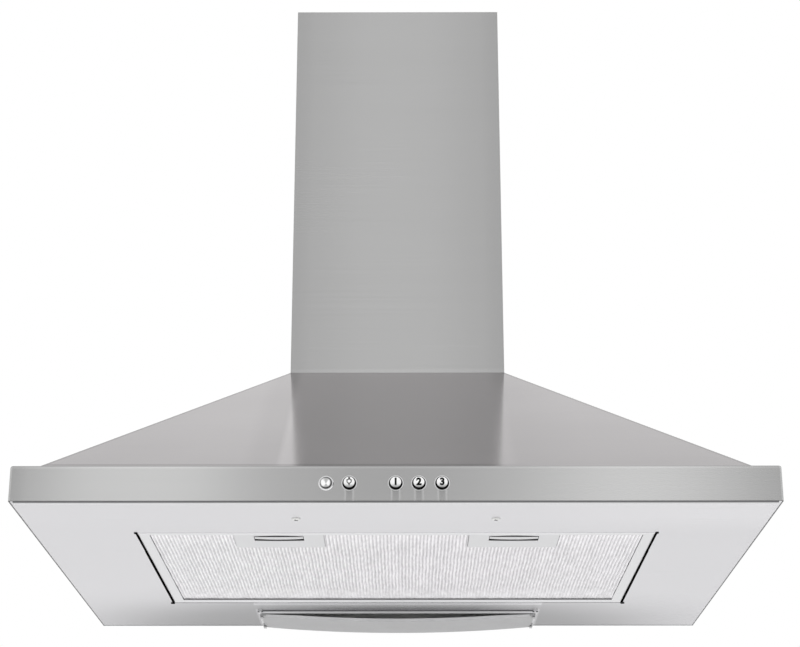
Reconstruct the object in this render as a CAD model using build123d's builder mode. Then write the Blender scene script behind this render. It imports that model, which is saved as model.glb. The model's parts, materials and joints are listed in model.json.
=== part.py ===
"""A wall-mounted chimney range hood, 600 mm wide, in sheet stainless steel.

An upright band runs round the foot of a four-sided canopy, and a two-part sleeve stands on the
canopy and hides the duct. A flat panel closes the underside. It holds one wide grease filter,
which swings down at its rear edge, and two bulbs behind a bowed diffuser. A twin-inlet blower
hangs inside the canopy under a round spigot with two non-return flaps.

Frame: X to the right, Y into the wall, Z up, in millimetres. The origin is on the wall, at the
middle of the hood's foot, so the hood stands in front of the wall at negative Y.
"""

import os
from math import hypot

from build123d import *

os.makedirs("parts", exist_ok=True)

# ---------------------------------------------------------------- driving dimensions
# body
hood_width = 600.0
hood_depth = 500.0
band_height = 28.5
band_corner = 2.6  # outer radius of the band's upright corners
fold = 1.8  # outer radius of the band's top edge
foot_round = 0.5  # outer radius of the band's lower edge
sheet = 0.8  # stainless sheet
rear_sheet = 1.0
ledge = 13.0  # flat top of the band, outside the canopy
seam = 8.0  # flange that joins canopy and band
lip = 4.0  # inward return near the band's foot, which the underside panel lies against
canopy_rise = 181.0
seat_gap = 0.3  # between pieces that lie on each other
slide_gap = 0.2  # between pieces that slide on each other
hair_gap = 0.1  # between pieces that are held tight

# chimney sleeves
chimney_width = 206.0
chimney_depth = 185.0
chimney_height = 393.0
chimney_return = 12.0  # flanges that turn in along the wall
collar_height = 18.0
sleeve_gap = 0.5  # between the two sleeves, on each side
chimney_screw_inset = 31.0  # in front of the wall
sleeve_step = 2.5  # how far the inner sleeve's top stays below the outer one's
vent_length = 50.0
vent_height = 4.0
vent_pitch = 10.0
vent_count = 6
vent_drop = 42.0  # from the sleeve's top to the middle of the vents

# grease filter
filter_width = 428.0
filter_to_lamp = 38.2  # from the filter's rear to the lamp frame
filter_height = 9.0
filter_setback = 107.0  # from the hood's front to the filter's front
filter_side_border = 9.5
filter_front_border = 5.5
filter_rear_border = 12.0
filter_wall = 0.7
filter_side_gap = 1.3
filter_front_gap = 1.0
filter_rear_gap = 2.5
ridge_count = 140
ridge_height = 1.4
ridge_sheet = 0.35
core_waves = 28
core_height = 4.2
net_columns = 10
net_rows = 6
net_bar = 5.0
net_sheet = 0.5
tab_width = 30.0
tab_bite = 4.0
tab_thickness = 1.4
tab_offset = 120.0

# filter latches
latch_offset = 98.0
latch_plate_width = 75.0
latch_plate_depth = 47.5
latch_mouth_inset = 3.0
latch_mouth_width = 41.4
latch_mouth_depth = 21.0
latch_mouth_front_bulge = 3.0
latch_mouth_rear_bulge = 1.0
latch_wall = 2.0
latch_pocket_gap = 2.0
pull_depth = 7.0
pull_bulge = 3.0  # how far the pull's rear edge bows out in its middle
pull_setback = 6.5  # from the mouth's front to the pull
pull_side_gap = 0.4
tongue_width = 24.0
tongue_thickness = 1.8
tongue_reach = 0.6  # in front of the filter
tongue_gap = 0.5

# lamps
lamp_frame_width = 274.0
lamp_frame_depth = 71.5
lamp_frame_border = 6.0
lamp_frame_front_border = 10.0
lamp_frame_thickness = 1.2
diffuser_bow = 6.0
diffuser_thickness = 1.8
clip_length = 9.0
clip_thickness = 1.2
clip_offset = 24.0  # from the middle of the diffuser
lamp_box_height = 38.0
lamp_box_sheet = 0.6
bulb_radius = 12.5
bulb_length = 78.0
bulb_shoulder = 6.0  # length of the cone behind the cap
bulb_taper = 30.0  # length of the candle-shaped tip
bulb_tip_radius = 3.0
bulb_cap_radius = 7.0
bulb_cap_length = 14.0
holder_radius = 14.0
holder_length = 26.0

# controls
control_pitch = 18.0
control_slots = 6
control_centre = -9.0
button_slots = (1, 3, 4, 5)  # the first slot holds the pilot lamp, and the third is blank
button_radius = 5.3
button_edge = 0.9
button_proud = 3.8
button_travel = 2.6
button_gap = 0.3
button_flange = 1.1
flange_thickness = 1.2
stem_radius = 3.0
stem_length = 15.0
stem_gap = 0.1
pilot_radius = 4.6
pilot_proud = 0.9
pilot_dish_radius = 3.7
pilot_dish_depth = 1.35
pilot_bezel = 1.0
pilot_bezel_height = 0.7
pilot_bezel_edge = 0.35
switch_height = 19.0
switch_depth = 32.0
switch_foot = 8.0

# blower
impeller_radius = 62.0
impeller_width = 104.0
impeller_eye = 50.0  # inner radius of the blades
rim_thickness = 3.0
blade_count = 24
blade_inset = 1.0  # from the eye to a blade's root
blade_tip_inset = 0.5  # from the rim's outside to a blade's tip
blade_thickness = 0.8
blade_lean = 6.0  # how far a blade's tip lies behind its root, in degrees
blade_bow = 1.2
hub_disc = 2.0
hub_radius = 11.0
hub_length = 22.0
scroll_start = 70.0  # radius where the scroll begins
scroll_step = 8.0  # growth of the radius in each quarter turn
scroll_wall = 2.0
scroll_width = 130.0
scroll_foot = 36.0  # height of its lowest point
scroll_back = 125.0  # from the wall to the impeller's axis
inlet_radius = 50.0
inlet_depth = 8.0  # how far the inlet's mouth reaches inside
mouth_flange = 9.0
motor_radius = 34.0
motor_length = 42.0
motor_boss = 12.0
motor_boss_length = 5.0
motor_edge = 2.5
shaft_radius = 4.0
shaft_gap = 0.05
shaft_end = 6.0  # from the shaft's end to the motor's far face
bracket_thickness = 3.0
bracket_arm = 12.6  # width of each arm
bracket_hole = 14.0
bracket_reach = 62.0  # from the axis to the three fixings
bush_radius = 5.5
bush_length = 5.0

# outlet
plate_thickness = 1.2
plate_margin = 4.0
top_flange = 14.0  # inward flange at the canopy's top
spigot_radius = 60.0
spigot_wall = 1.5
spigot_height = 46.0
spigot_base = 124.0
spigot_base_thickness = 2.0
spigot_base_corner = 4.0
spigot_screw_spacing = 110.0
axle_radius = 1.5
axle_height = 14.0
flap_thickness = 1.0
flap_rim_gap = 1.0
flap_root = 2.0  # from the axle to the flap's straight edge
flap_stop = 2.5
flap_stop_thickness = 1.2
knuckle_wall = 1.1
knuckle_gap = 0.1
knuckle_length = 16.0
knuckle_side_gap = 0.4
knuckles = 4

# wiring
capacitor_radius = 12.0
capacitor_height = 45.0
capacitor_edge = 1.2
capacitor_x = -160.0
capacitor_z = 50.0
clip_band = 10.0
terminal_x = 180.0
terminal_z = 55.0
terminal_width = 60.0
terminal_depth = 24.0
terminal_height = 38.0
terminal_wall = 1.6
terminal_corner = 3.2
terminal_edge = 0.8
cable_radius = 4.5
grommet_wall = 1.3
grommet_flange = 2.0
grommet_side = 33.0  # from the chimney's side

# fasteners and wall fixings
screw_radius = 1.9
screw_gap = 0.2
head_radius = 3.6
head_height = 1.4
screw_tip = 1.4  # how far a screw stands out past what it holds
panel_screw_x = 80.0
panel_screw_setback = 57.0
crossbar_depth = 24.0
crossbar_height = 14.0
hook_x = 200.0
hook_width = 30.0
hook_reach = 3.3
wall_screw_x = 130.0
wall_screw_z = 62.0
wall_hole_radius = 3.25
keyhole_x = 105.0
keyhole_z = 132.0
keyhole_head = 6.0
keyhole_slot = 3.0
keyhole_length = 12.0
bracket_sheet = 1.2
bracket_height = 25.0
bracket_drop = 12.0
bracket_side_gap = 5.0  # to the chimney's rear flanges
bracket_step = 7.0
bracket_ear = 22.0
bracket_hole_x = 60.0
bracket_hole_radius = 2.75

# ---------------------------------------------------------------- places worked out from them
z_ledge = band_height
z_top = band_height + canopy_rise
z_chimney = z_top + chimney_height
front = -hood_depth
panel_z = seat_gap  # underside of the panel
panel_top = panel_z + sheet
lip_z = panel_top + seat_gap
lamp_rear = -rear_sheet - lip - seat_gap
lamp_front = lamp_rear - lamp_frame_depth
filter_front = front + filter_setback
filter_rear = lamp_front - filter_to_lamp
filter_mid = (filter_front + filter_rear) / 2
filter_top = panel_z + filter_height
filter_half = filter_width / 2


def rect_between(x_low, x_high, y_low, y_high, mode=Mode.ADD):
    """A rectangle in the current sketch, from corner to corner."""
    with Locations(((x_low + x_high) / 2, (y_low + y_high) / 2)):
        Rectangle(x_high - x_low, y_high - y_low, mode=mode)


def box_between(x_low, x_high, y_low, y_high, z_low, z_high, mode=Mode.ADD):
    """A box in the current part, from corner to corner."""
    with Locations(((x_low + x_high) / 2, (y_low + y_high) / 2, (z_low + z_high) / 2)):
        Box(x_high - x_low, y_high - y_low, z_high - z_low, mode=mode)


def write(builder, name):
    """Labels a finished piece and writes its STEP file."""
    builder.part.label = name
    export_step(builder.part, f"parts/{name}.step")


# ---------------------------------------------------------------- body
# The band is one folded strip: an upright face, a top flange that carries the canopy, and a lip.
with BuildPart() as apron_band:
    with BuildSketch() as footprint:
        rect_between(-hood_width / 2, hood_width / 2, front, -rear_sheet)
        fillet(footprint.vertices().group_by(Axis.Y)[0], band_corner)
    extrude(amount=band_height)
    fillet(apron_band.faces().sort_by(Axis.Z)[-1].edges().sort_by(Axis.Y)[:-1], fold)
    fillet(apron_band.faces().sort_by(Axis.Z)[0].edges().sort_by(Axis.Y)[:-1], foot_round)
    inner_half = hood_width / 2 - sheet
    for low, high in ((0, lip_z), (lip_z + sheet, band_height - sheet)):
        box_between(
            -inner_half, inner_half, front + sheet, -rear_sheet, low, high, Mode.SUBTRACT
        )
    window = hood_width / 2 - ledge - seam
    box_between(
        -window, window, front + ledge + seam, -rear_sheet,
        band_height - sheet, band_height, Mode.SUBTRACT,
    )
    box_between(
        -hood_width / 2 + lip, hood_width / 2 - lip, front + lip, -rear_sheet,
        lip_z, lip_z + sheet, Mode.SUBTRACT,
    )
    first_slot = control_centre - control_pitch * (control_slots - 1) / 2
    control_z = band_height / 2
    with BuildSketch(Plane.XZ.offset(-front)):
        for slot in button_slots:
            with Locations((first_slot + slot * control_pitch, control_z)):
                Circle(button_radius + button_gap)
        with Locations((first_slot, control_z)):
            Circle(pilot_radius + seat_gap)
    extrude(amount=-sheet, mode=Mode.SUBTRACT)
write(apron_band, "apron_band")

# The canopy is three sloped sheets that meet at mitred hips. Each has a flange at its foot, which
# lies on the band, and one at its top, which carries the chimney and the outlet plate.
canopy_half = hood_width / 2 - ledge
canopy_front = front + ledge
chimney_half = chimney_width / 2
side_run = canopy_half - chimney_half
front_run = -canopy_front - chimney_depth
plate_screw_inset = top_flange - plate_margin
plate_screw_x = chimney_half - plate_screw_inset
plate_screw_front = -chimney_depth + plate_screw_inset
plate_screws = [
    (side * plate_screw_x, y) for side in (-1, 1) for y in (plate_screw_front, -plate_screw_inset)
]


def mitre(side):
    """The upright plane through a hip. Its normal points to the side sheet."""
    return Plane((side * canopy_half, canopy_front, 0), z_dir=(side * front_run, side_run, 0))


with BuildPart() as canopy_front_sheet:
    front_slope = Plane(
        (0, canopy_front, z_ledge), x_dir=(1, 0, 0), z_dir=(0, -canopy_rise, front_run)
    )
    with BuildSketch(front_slope):
        rect_between(-canopy_half, canopy_half, -sheet, hypot(front_run, canopy_rise))
    extrude(amount=-sheet)
    box_between(
        -canopy_half, canopy_half, canopy_front, canopy_front + seam, z_ledge, z_ledge + sheet
    )
    box_between(
        -chimney_half, chimney_half, -chimney_depth, -chimney_depth + top_flange,
        z_top - sheet, z_top,
    )
    split(bisect_by=front_slope, keep=Keep.BOTTOM)
    split(bisect_by=Plane.XY.offset(z_ledge), keep=Keep.TOP)
    for side in (-1, 1):
        split(bisect_by=mitre(side), keep=Keep.BOTTOM)
    with Locations(*[(side * plate_screw_x, plate_screw_front, z_top) for side in (-1, 1)]):
        Hole(screw_radius + screw_gap, depth=sheet)
write(canopy_front_sheet, "canopy_front")


def canopy_side(side):
    """A sloped side sheet, whose rear edge stands against the rear wall."""
    slope = Plane(
        (side * canopy_half, 0, z_ledge), x_dir=(0, side, 0), z_dir=(side * canopy_rise, 0, side_run)
    )
    with BuildPart() as piece:
        near, far = sorted((side * canopy_front, -side * rear_sheet))
        with BuildSketch(slope):
            rect_between(near, far, -sheet, hypot(side_run, canopy_rise))
        extrude(amount=-sheet)
        near, far = sorted((side * canopy_half, side * (canopy_half - seam)))
        box_between(near, far, canopy_front, -rear_sheet, z_ledge, z_ledge + sheet)
        near, far = sorted((side * chimney_half, side * (chimney_half - top_flange)))
        box_between(near, far, -chimney_depth, -rear_sheet, z_top - sheet, z_top)
        split(bisect_by=slope, keep=Keep.BOTTOM)
        split(bisect_by=Plane.XY.offset(z_ledge), keep=Keep.TOP)
        split(bisect_by=mitre(side), keep=Keep.TOP)
        with Locations((side * plate_screw_x, -plate_screw_inset, z_top)):
            Hole(screw_radius + screw_gap, depth=sheet)
    return piece


write(canopy_side(-1), "canopy_side_left")
write(canopy_side(1), "canopy_side_right")

# The collar stands on the canopy's top flanges, and the outer sleeve fits over it.
collar_half = chimney_half - sheet - seat_gap
collar_front = -chimney_depth + sheet + seat_gap
chimney_screw_y = -chimney_screw_inset
chimney_screw_z = z_top + collar_height / 2
with BuildPart() as chimney_collar:
    with BuildSketch(Plane.XY.offset(z_top)):
        rect_between(-collar_half, collar_half, collar_front, -rear_sheet)
        rect_between(
            -collar_half + sheet, collar_half - sheet, collar_front + sheet, -rear_sheet, Mode.SUBTRACT
        )
    extrude(amount=collar_height)
    with BuildSketch(Plane.YZ.offset(-chimney_half)):
        with Locations((chimney_screw_y, chimney_screw_z)):
            Circle(screw_radius + screw_gap)
    extrude(amount=chimney_width, mode=Mode.SUBTRACT)
write(chimney_collar, "chimney_collar")

# The rear wall closes the back, hangs on the wall by its keyholes and carries the panel's rear.
with BuildPart() as rear_wall:
    with BuildSketch(Plane.XZ) as outline:
        with BuildLine():
            Polyline(
                (-hood_width / 2, 0), (hood_width / 2, 0), (hood_width / 2, band_height),
                (canopy_half, band_height), (chimney_half, z_top),
                (-chimney_half, z_top), (-canopy_half, band_height),
                (-hood_width / 2, band_height), close=True,
            )
        make_face()
        for side in (-1, 1):
            with Locations((side * wall_screw_x, wall_screw_z)):
                Circle(wall_hole_radius, mode=Mode.SUBTRACT)
            with Locations((side * keyhole_x, keyhole_z)):
                Circle(keyhole_head, mode=Mode.SUBTRACT)
            with Locations((side * keyhole_x, keyhole_z + keyhole_length / 2)):
                SlotCenterToCenter(keyhole_length, 2 * keyhole_slot, rotation=90, mode=Mode.SUBTRACT)
    extrude(amount=rear_sheet)
    box_between(
        -hood_width / 2 + lip, hood_width / 2 - lip, -rear_sheet - lip, -rear_sheet,
        lip_z, lip_z + sheet,
    )
    box_between(
        -chimney_half + top_flange, chimney_half - top_flange, -top_flange, -rear_sheet,
        z_top - sheet, z_top,
    )
write(rear_wall, "rear_wall")

# ---------------------------------------------------------------- underside panel
lamp_half = lamp_frame_width / 2
lamp_mid = (lamp_front + lamp_rear) / 2
lamp_open_half = lamp_half - lamp_frame_border
lamp_open_front = lamp_front + lamp_frame_front_border
lamp_open_rear = lamp_rear - lamp_frame_border
panel_half = hood_width / 2 - sheet - seat_gap
panel_front = front + sheet + seat_gap
panel_rear = -rear_sheet - seat_gap
open_half = filter_half + filter_side_gap
open_front = filter_front - filter_front_gap
open_rear = filter_rear + filter_rear_gap
panel_screw_y = front + panel_screw_setback

# The panel lies inside the band's foot, under its lip. It hooks over the rear wall's lip, and two
# screws near its front hold it.
with BuildPart() as base_panel:
    with BuildSketch(Plane.XY.offset(panel_z)) as panel_outline:
        rect_between(-panel_half, panel_half, panel_front, panel_rear)
        fillet(panel_outline.vertices().group_by(Axis.Y)[0], band_corner)
        rect_between(-open_half, open_half, open_front, open_rear, Mode.SUBTRACT)
        rect_between(
            -lamp_open_half, lamp_open_half, lamp_open_front, lamp_open_rear, Mode.SUBTRACT
        )
        with Locations((-panel_screw_x, panel_screw_y), (panel_screw_x, panel_screw_y)):
            Circle(screw_radius + screw_gap, mode=Mode.SUBTRACT)
    extrude(amount=sheet)
    hook_z = lip_z + sheet + seat_gap
    for side in (-1, 1):
        hook_left = side * hook_x - hook_width / 2
        hook_right = side * hook_x + hook_width / 2
        box_between(
            hook_left, hook_right, lamp_rear - sheet, lamp_rear, panel_top, hook_z + sheet
        )
        box_between(
            hook_left, hook_right, lamp_rear, lamp_rear + hook_reach, hook_z, hook_z + sheet
        )
write(base_panel, "base_panel")

# An angle across the band's lips takes the two screws that show in the panel.
with BuildPart() as panel_crossbar:
    bar_z = lip_z + sheet
    bar_front = panel_screw_y - crossbar_depth / 2
    bar_rear = panel_screw_y + crossbar_depth / 2
    box_between(-panel_half, panel_half, bar_front, bar_rear, bar_z, bar_z + plate_thickness)
    box_between(
        -panel_half, panel_half, bar_rear - plate_thickness, bar_rear, bar_z, bar_z + crossbar_height
    )
    for side in (-1, 1):
        with Locations((side * panel_screw_x, panel_screw_y, bar_z + plate_thickness)):
            Hole(screw_radius + screw_gap, depth=plate_thickness)
write(panel_crossbar, "panel_crossbar")


def screw(length):
    """A pan-head screw: its head stands on the current plane, and its shank goes the other way."""
    Cylinder(head_radius, head_height, align=(Align.CENTER, Align.CENTER, Align.MIN))
    Cylinder(screw_radius, length, align=(Align.CENTER, Align.CENTER, Align.MAX))


with BuildPart() as base_screws:
    for side in (-1, 1):
        with Locations(Location((side * panel_screw_x, panel_screw_y, panel_z), (180, 0, 0))):
            screw(bar_z - panel_z + plate_thickness + screw_tip)
write(base_screws, "base_screws")

# ---------------------------------------------------------------- grease filter
# A channel frame, open inwards, holds the ridged face, the waved core and the net behind them.
latch_front = filter_front + filter_front_border  # the frame's inner edge at the latches
mouth_front = latch_front + latch_mouth_inset
mouth_rear = mouth_front + latch_mouth_depth
# a pull slides until the middle of its bowed edge is near the mouth's rear edge
pull_front = mouth_front + pull_setback
pull_rear = pull_front + pull_depth + pull_bulge
latch_travel = mouth_rear - pull_rear - latch_mouth_rear_bulge
block_front = mouth_front - latch_wall
block_rear = mouth_rear + latch_travel + latch_wall
pocket_half = latch_mouth_width / 2 + latch_wall + latch_pocket_gap
pocket_rear = block_rear + latch_travel + latch_pocket_gap
tray_floor = panel_z + filter_wall
plate_z = tray_floor + hair_gap
plate_top = plate_z + filter_wall
block_z = plate_top + slide_gap
tongue_z = panel_top + seat_gap
tongue_tip = filter_front - tongue_reach

with BuildPart() as filter_frame:
    box_between(-filter_half, filter_half, filter_front, filter_rear, panel_z, filter_top)
    box_between(
        -filter_half + filter_wall, filter_half - filter_wall,
        filter_front + filter_wall, filter_rear - filter_wall,
        tray_floor, filter_top - filter_wall, Mode.SUBTRACT,
    )
    box_between(
        -filter_half + filter_side_border, filter_half - filter_side_border,
        latch_front, filter_rear - filter_rear_border, panel_z, filter_top, Mode.SUBTRACT,
    )
    for side in (-1, 1):
        # windows for the latch tongues, and tabs that hook over the panel's edge
        box_between(
            side * latch_offset - tongue_width / 2 - tongue_gap,
            side * latch_offset + tongue_width / 2 + tongue_gap,
            filter_front, filter_front + filter_wall,
            tongue_z - seat_gap, tongue_z + tongue_thickness + seat_gap, Mode.SUBTRACT,
        )
        box_between(
            side * tab_offset - tab_width / 2, side * tab_offset + tab_width / 2,
            filter_rear - filter_wall, open_rear + tab_bite,
            panel_top + seat_gap, panel_top + seat_gap + tab_thickness,
        )
write(filter_frame, "filter_frame")

layer_half = filter_half - filter_wall - seat_gap
layer_front = filter_front + filter_wall + seat_gap
layer_rear = filter_rear - filter_wall - seat_gap
face_z = tray_floor + seat_gap
face_top = face_z + ridge_height + ridge_sheet
core_z = face_top + slide_gap
core_top = core_z + core_height
net_top = filter_top - filter_wall - hair_gap
net_z = net_top - net_sheet
block_top = net_z - slide_gap


def zigzag(start, step, count, base, height, thickness):
    """The outline of a thin zigzag strip: its lower line, and its upper line on the way back."""
    lower = [(start + i * step, base + (i % 2) * height) for i in range(count + 1)]
    upper = [(along, up + thickness) for along, up in reversed(lower)]
    return lower + upper


with BuildPart() as filter_face:
    with BuildSketch(Plane.XZ.offset(-layer_front)):
        with BuildLine():
            ridge_step = layer_half / ridge_count
            Polyline(
                *zigzag(-layer_half, ridge_step, 2 * ridge_count, face_z, ridge_height, ridge_sheet),
                close=True,
            )
        make_face()
    extrude(amount=layer_front - layer_rear)
    for side in (-1, 1):
        box_between(
            side * latch_offset - latch_plate_width / 2 - seat_gap,
            side * latch_offset + latch_plate_width / 2 + seat_gap,
            layer_front, latch_front + latch_plate_depth + seat_gap,
            face_z, face_top, Mode.SUBTRACT,
        )
write(filter_face, "filter_face")

with BuildPart() as filter_core:
    with BuildSketch(Plane.YZ.offset(-layer_half)):
        with BuildLine():
            wave_step = (layer_rear - layer_front) / (2 * core_waves)
            wave_rise = core_height - ridge_sheet
            Polyline(
                *zigzag(layer_front, wave_step, 2 * core_waves, core_z, wave_rise, ridge_sheet),
                close=True,
            )
        make_face()
    extrude(amount=2 * layer_half)
    for side in (-1, 1):
        box_between(
            side * latch_offset - pocket_half, side * latch_offset + pocket_half,
            layer_front, pocket_rear, core_z, core_top, Mode.SUBTRACT,
        )
write(filter_core, "filter_core")

with BuildPart() as filter_net:
    with BuildSketch(Plane.XY.offset(net_z)):
        rect_between(-layer_half, layer_half, layer_front, layer_rear)
        cell_width = 2 * layer_half / net_columns
        cell_depth = (layer_rear - layer_front) / net_rows
        with Locations((0, filter_mid)):
            with GridLocations(cell_width, cell_depth, net_columns, net_rows):
                Rectangle(cell_width - net_bar, cell_depth - net_bar, mode=Mode.SUBTRACT)
    extrude(amount=net_sheet)
write(filter_net, "filter_net")


def latch_plate(x):
    """The smooth plate round a finger pull, with a barrel-shaped mouth."""
    left, right = x - latch_mouth_width / 2, x + latch_mouth_width / 2
    with BuildPart() as plate:
        with BuildSketch(Plane.XY.offset(plate_z)):
            rect_between(
                x - latch_plate_width / 2, x + latch_plate_width / 2,
                layer_front, latch_front + latch_plate_depth,
            )
            with BuildLine():
                front_ends = mouth_front + latch_mouth_front_bulge
                rear_ends = mouth_rear - latch_mouth_rear_bulge
                ThreePointArc((left, front_ends), (x, mouth_front), (right, front_ends))
                Line((right, front_ends), (right, rear_ends))
                ThreePointArc((right, rear_ends), (x, mouth_rear), (left, rear_ends))
                Line((left, rear_ends), (left, front_ends))
            make_face(mode=Mode.SUBTRACT)
        extrude(amount=filter_wall)
    return plate


def latch_slider(x):
    """The sliding part of a latch: a finger cup that is open downwards, with a tongue in front."""
    half = latch_mouth_width / 2
    with BuildPart() as slider:
        box_between(
            x - half - latch_wall, x + half + latch_wall, block_front, block_rear, block_z, block_top
        )
        box_between(
            x - half, x + half, block_front + latch_wall, block_rear - latch_wall,
            block_z, block_top - filter_wall, Mode.SUBTRACT,
        )
        box_between(
            x - tongue_width / 2, x + tongue_width / 2, tongue_tip, block_front + latch_wall,
            block_z, tongue_z + tongue_thickness,
        )
    return slider


def latch_pull(x):
    """The bar across the finger cup: straight in front, bowed behind, with a soft lower edge."""
    half = latch_mouth_width / 2 - pull_side_gap
    ends = pull_front + pull_depth
    with BuildPart() as pull:
        with BuildSketch(Plane.XY.offset(plate_z)):
            with BuildLine():
                Polyline((x + half, ends), (x + half, pull_front), (x - half, pull_front), (x - half, ends))
                ThreePointArc((x - half, ends), (x, pull_rear), (x + half, ends))
            make_face()
        extrude(amount=block_top - filter_wall - hair_gap - plate_z)
        fillet(pull.edges().filter_by(Axis.X).group_by(Axis.Z)[0], filter_wall)
    return pull


for side, name in ((-1, "left"), (1, "right")):
    write(latch_plate(side * latch_offset), f"latch_plate_{name}")
    write(latch_slider(side * latch_offset), f"latch_slider_{name}")
    write(latch_pull(side * latch_offset), f"latch_pull_{name}")

# ---------------------------------------------------------------- lamps
frame_z = panel_z - lamp_frame_thickness
with BuildPart() as lamp_frame:
    with BuildSketch(Plane.XY.offset(frame_z)):
        rect_between(-lamp_half, lamp_half, lamp_front, lamp_rear)
        rect_between(
            -lamp_open_half, lamp_open_half, lamp_open_front, lamp_open_rear, Mode.SUBTRACT
        )
    extrude(amount=lamp_frame_thickness)
write(lamp_frame, "lamp_frame")

# The diffuser is a flexible sheet, bowed between clips at its two ends.
diffuser_half = lamp_half - lamp_frame_border / 2
diffuser_front = lamp_open_front
diffuser_rear = lamp_open_rear + lamp_frame_border / 2
ends_z = frame_z - seat_gap
with BuildPart() as lamp_diffuser:
    with BuildSketch(Plane.XZ.offset(-diffuser_front)):
        with BuildLine():
            upper = ThreePointArc(
                (-diffuser_half, ends_z), (0, ends_z - diffuser_bow), (diffuser_half, ends_z)
            )
            lower = ThreePointArc(
                (-diffuser_half, ends_z - diffuser_thickness),
                (0, ends_z - diffuser_bow - diffuser_thickness),
                (diffuser_half, ends_z - diffuser_thickness),
            )
            Line(upper @ 0, lower @ 0)
            Line(upper @ 1, lower @ 1)
        make_face()
    extrude(amount=diffuser_front - diffuser_rear)
write(lamp_diffuser, "lamp_diffuser")

with BuildPart() as lamp_clips:
    clip_low = ends_z - diffuser_thickness - seat_gap - clip_thickness
    clip_mid = (diffuser_front + diffuser_rear) / 2
    for side in (-1, 1):
        for along in (-clip_offset, clip_offset):
            low_y = clip_mid + along - clip_length / 2
            high_y = low_y + clip_length
            near = side * (diffuser_half + seat_gap)
            far = near + side * clip_thickness
            box_between(min(near, far), max(near, far), low_y, high_y, clip_low, frame_z)
            near = side * (diffuser_half - clip_thickness)
            box_between(
                min(near, far), max(near, far), low_y, high_y, clip_low, clip_low + clip_thickness / 2
            )
write(lamp_clips, "lamp_clips")

with BuildPart() as lamp_box:
    box_between(-lamp_half, lamp_half, lamp_front, lamp_rear, panel_top, lamp_box_height)
    box_between(
        -lamp_half + lamp_box_sheet, lamp_half - lamp_box_sheet,
        lamp_front + lamp_box_sheet, lamp_rear - lamp_box_sheet,
        panel_top, lamp_box_height - lamp_box_sheet, Mode.SUBTRACT,
    )
write(lamp_box, "lamp_box")

bulb_z = (panel_top + lamp_box_height) / 2
holder_x = lamp_half - lamp_box_sheet
with BuildPart() as lamp_holders:
    for side in (-1, 1):
        with Locations(Plane((side * holder_x, lamp_mid, bulb_z), z_dir=(-side, 0, 0))):
            Cylinder(holder_radius, holder_length, align=(Align.CENTER, Align.CENTER, Align.MIN))
            with Locations((0, 0, holder_length - bulb_cap_length)):
                Cylinder(
                    bulb_cap_radius + seat_gap, bulb_cap_length,
                    align=(Align.CENTER, Align.CENTER, Align.MIN), mode=Mode.SUBTRACT,
                )
write(lamp_holders, "lamp_holders")

cap_x = holder_x - holder_length + bulb_cap_length - seat_gap
with BuildPart() as bulb_caps:
    for side in (-1, 1):
        with Locations(Plane((side * cap_x, lamp_mid, bulb_z), z_dir=(-side, 0, 0))):
            Cylinder(bulb_cap_radius, bulb_cap_length, align=(Align.CENTER, Align.CENTER, Align.MIN))
write(bulb_caps, "bulb_caps")

with BuildPart() as bulbs:
    for side in (-1, 1):
        neck = side * (cap_x - bulb_cap_length)
        tip = neck - side * bulb_length
        with BuildSketch(Plane.XY.offset(bulb_z)):
            with BuildLine():
                Polyline(
                    (tip, lamp_mid), (neck, lamp_mid), (neck, lamp_mid + bulb_cap_radius),
                    (neck - side * bulb_shoulder, lamp_mid + bulb_radius),
                    (tip + side * bulb_taper, lamp_mid + bulb_radius),
                    (tip, lamp_mid + bulb_tip_radius), close=True,
                )
            make_face()
        revolve(axis=Axis((0, lamp_mid, bulb_z), (1, 0, 0)))
write(bulbs, "bulbs")

# ---------------------------------------------------------------- controls
inner_face = front + sheet
flange_y = inner_face + seat_gap
switch_y = flange_y + flange_thickness + button_travel + seat_gap
switch_half = control_pitch * control_slots / 2 + stem_radius
switch_low = control_z - switch_height / 2
switch_high = control_z + switch_height / 2

with BuildPart() as switch_housing:
    box_between(
        control_centre - switch_half, control_centre + switch_half,
        switch_y, switch_y + switch_depth, switch_low, switch_high,
    )
    # feet that reach forward to the band
    for side in (-1, 1):
        near = control_centre + side * switch_half
        far = near + side * switch_foot
        box_between(
            min(near, far), max(near, far), inner_face, switch_y + switch_depth / 2,
            switch_low, switch_high,
        )
    with BuildSketch(Plane.XZ.offset(-switch_y)):
        for slot in button_slots:
            with Locations((first_slot + slot * control_pitch, control_z)):
                Circle(stem_radius + stem_gap)
    extrude(amount=-(stem_length + seat_gap), mode=Mode.SUBTRACT)
write(switch_housing, "switch_housing")

for slot, name in zip(button_slots, ("light", "speed_1", "speed_2", "speed_3")):
    x = first_slot + slot * control_pitch
    with BuildPart() as button:
        with Locations(Plane((x, flange_y, control_z), z_dir=(0, -1, 0))):
            Cylinder(
                button_radius, flange_y - front + button_proud,
                align=(Align.CENTER, Align.CENTER, Align.MIN),
            )
        chamfer(button.edges().group_by(Axis.Y)[0], button_edge)
        with Locations(Plane((x, flange_y, control_z), z_dir=(0, 1, 0))):
            Cylinder(
                button_radius + button_flange, flange_thickness,
                align=(Align.CENTER, Align.CENTER, Align.MIN),
            )
            Cylinder(
                stem_radius, flange_thickness + seat_gap + stem_length,
                align=(Align.CENTER, Align.CENTER, Align.MIN),
            )
    write(button, f"button_{name}")

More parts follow.
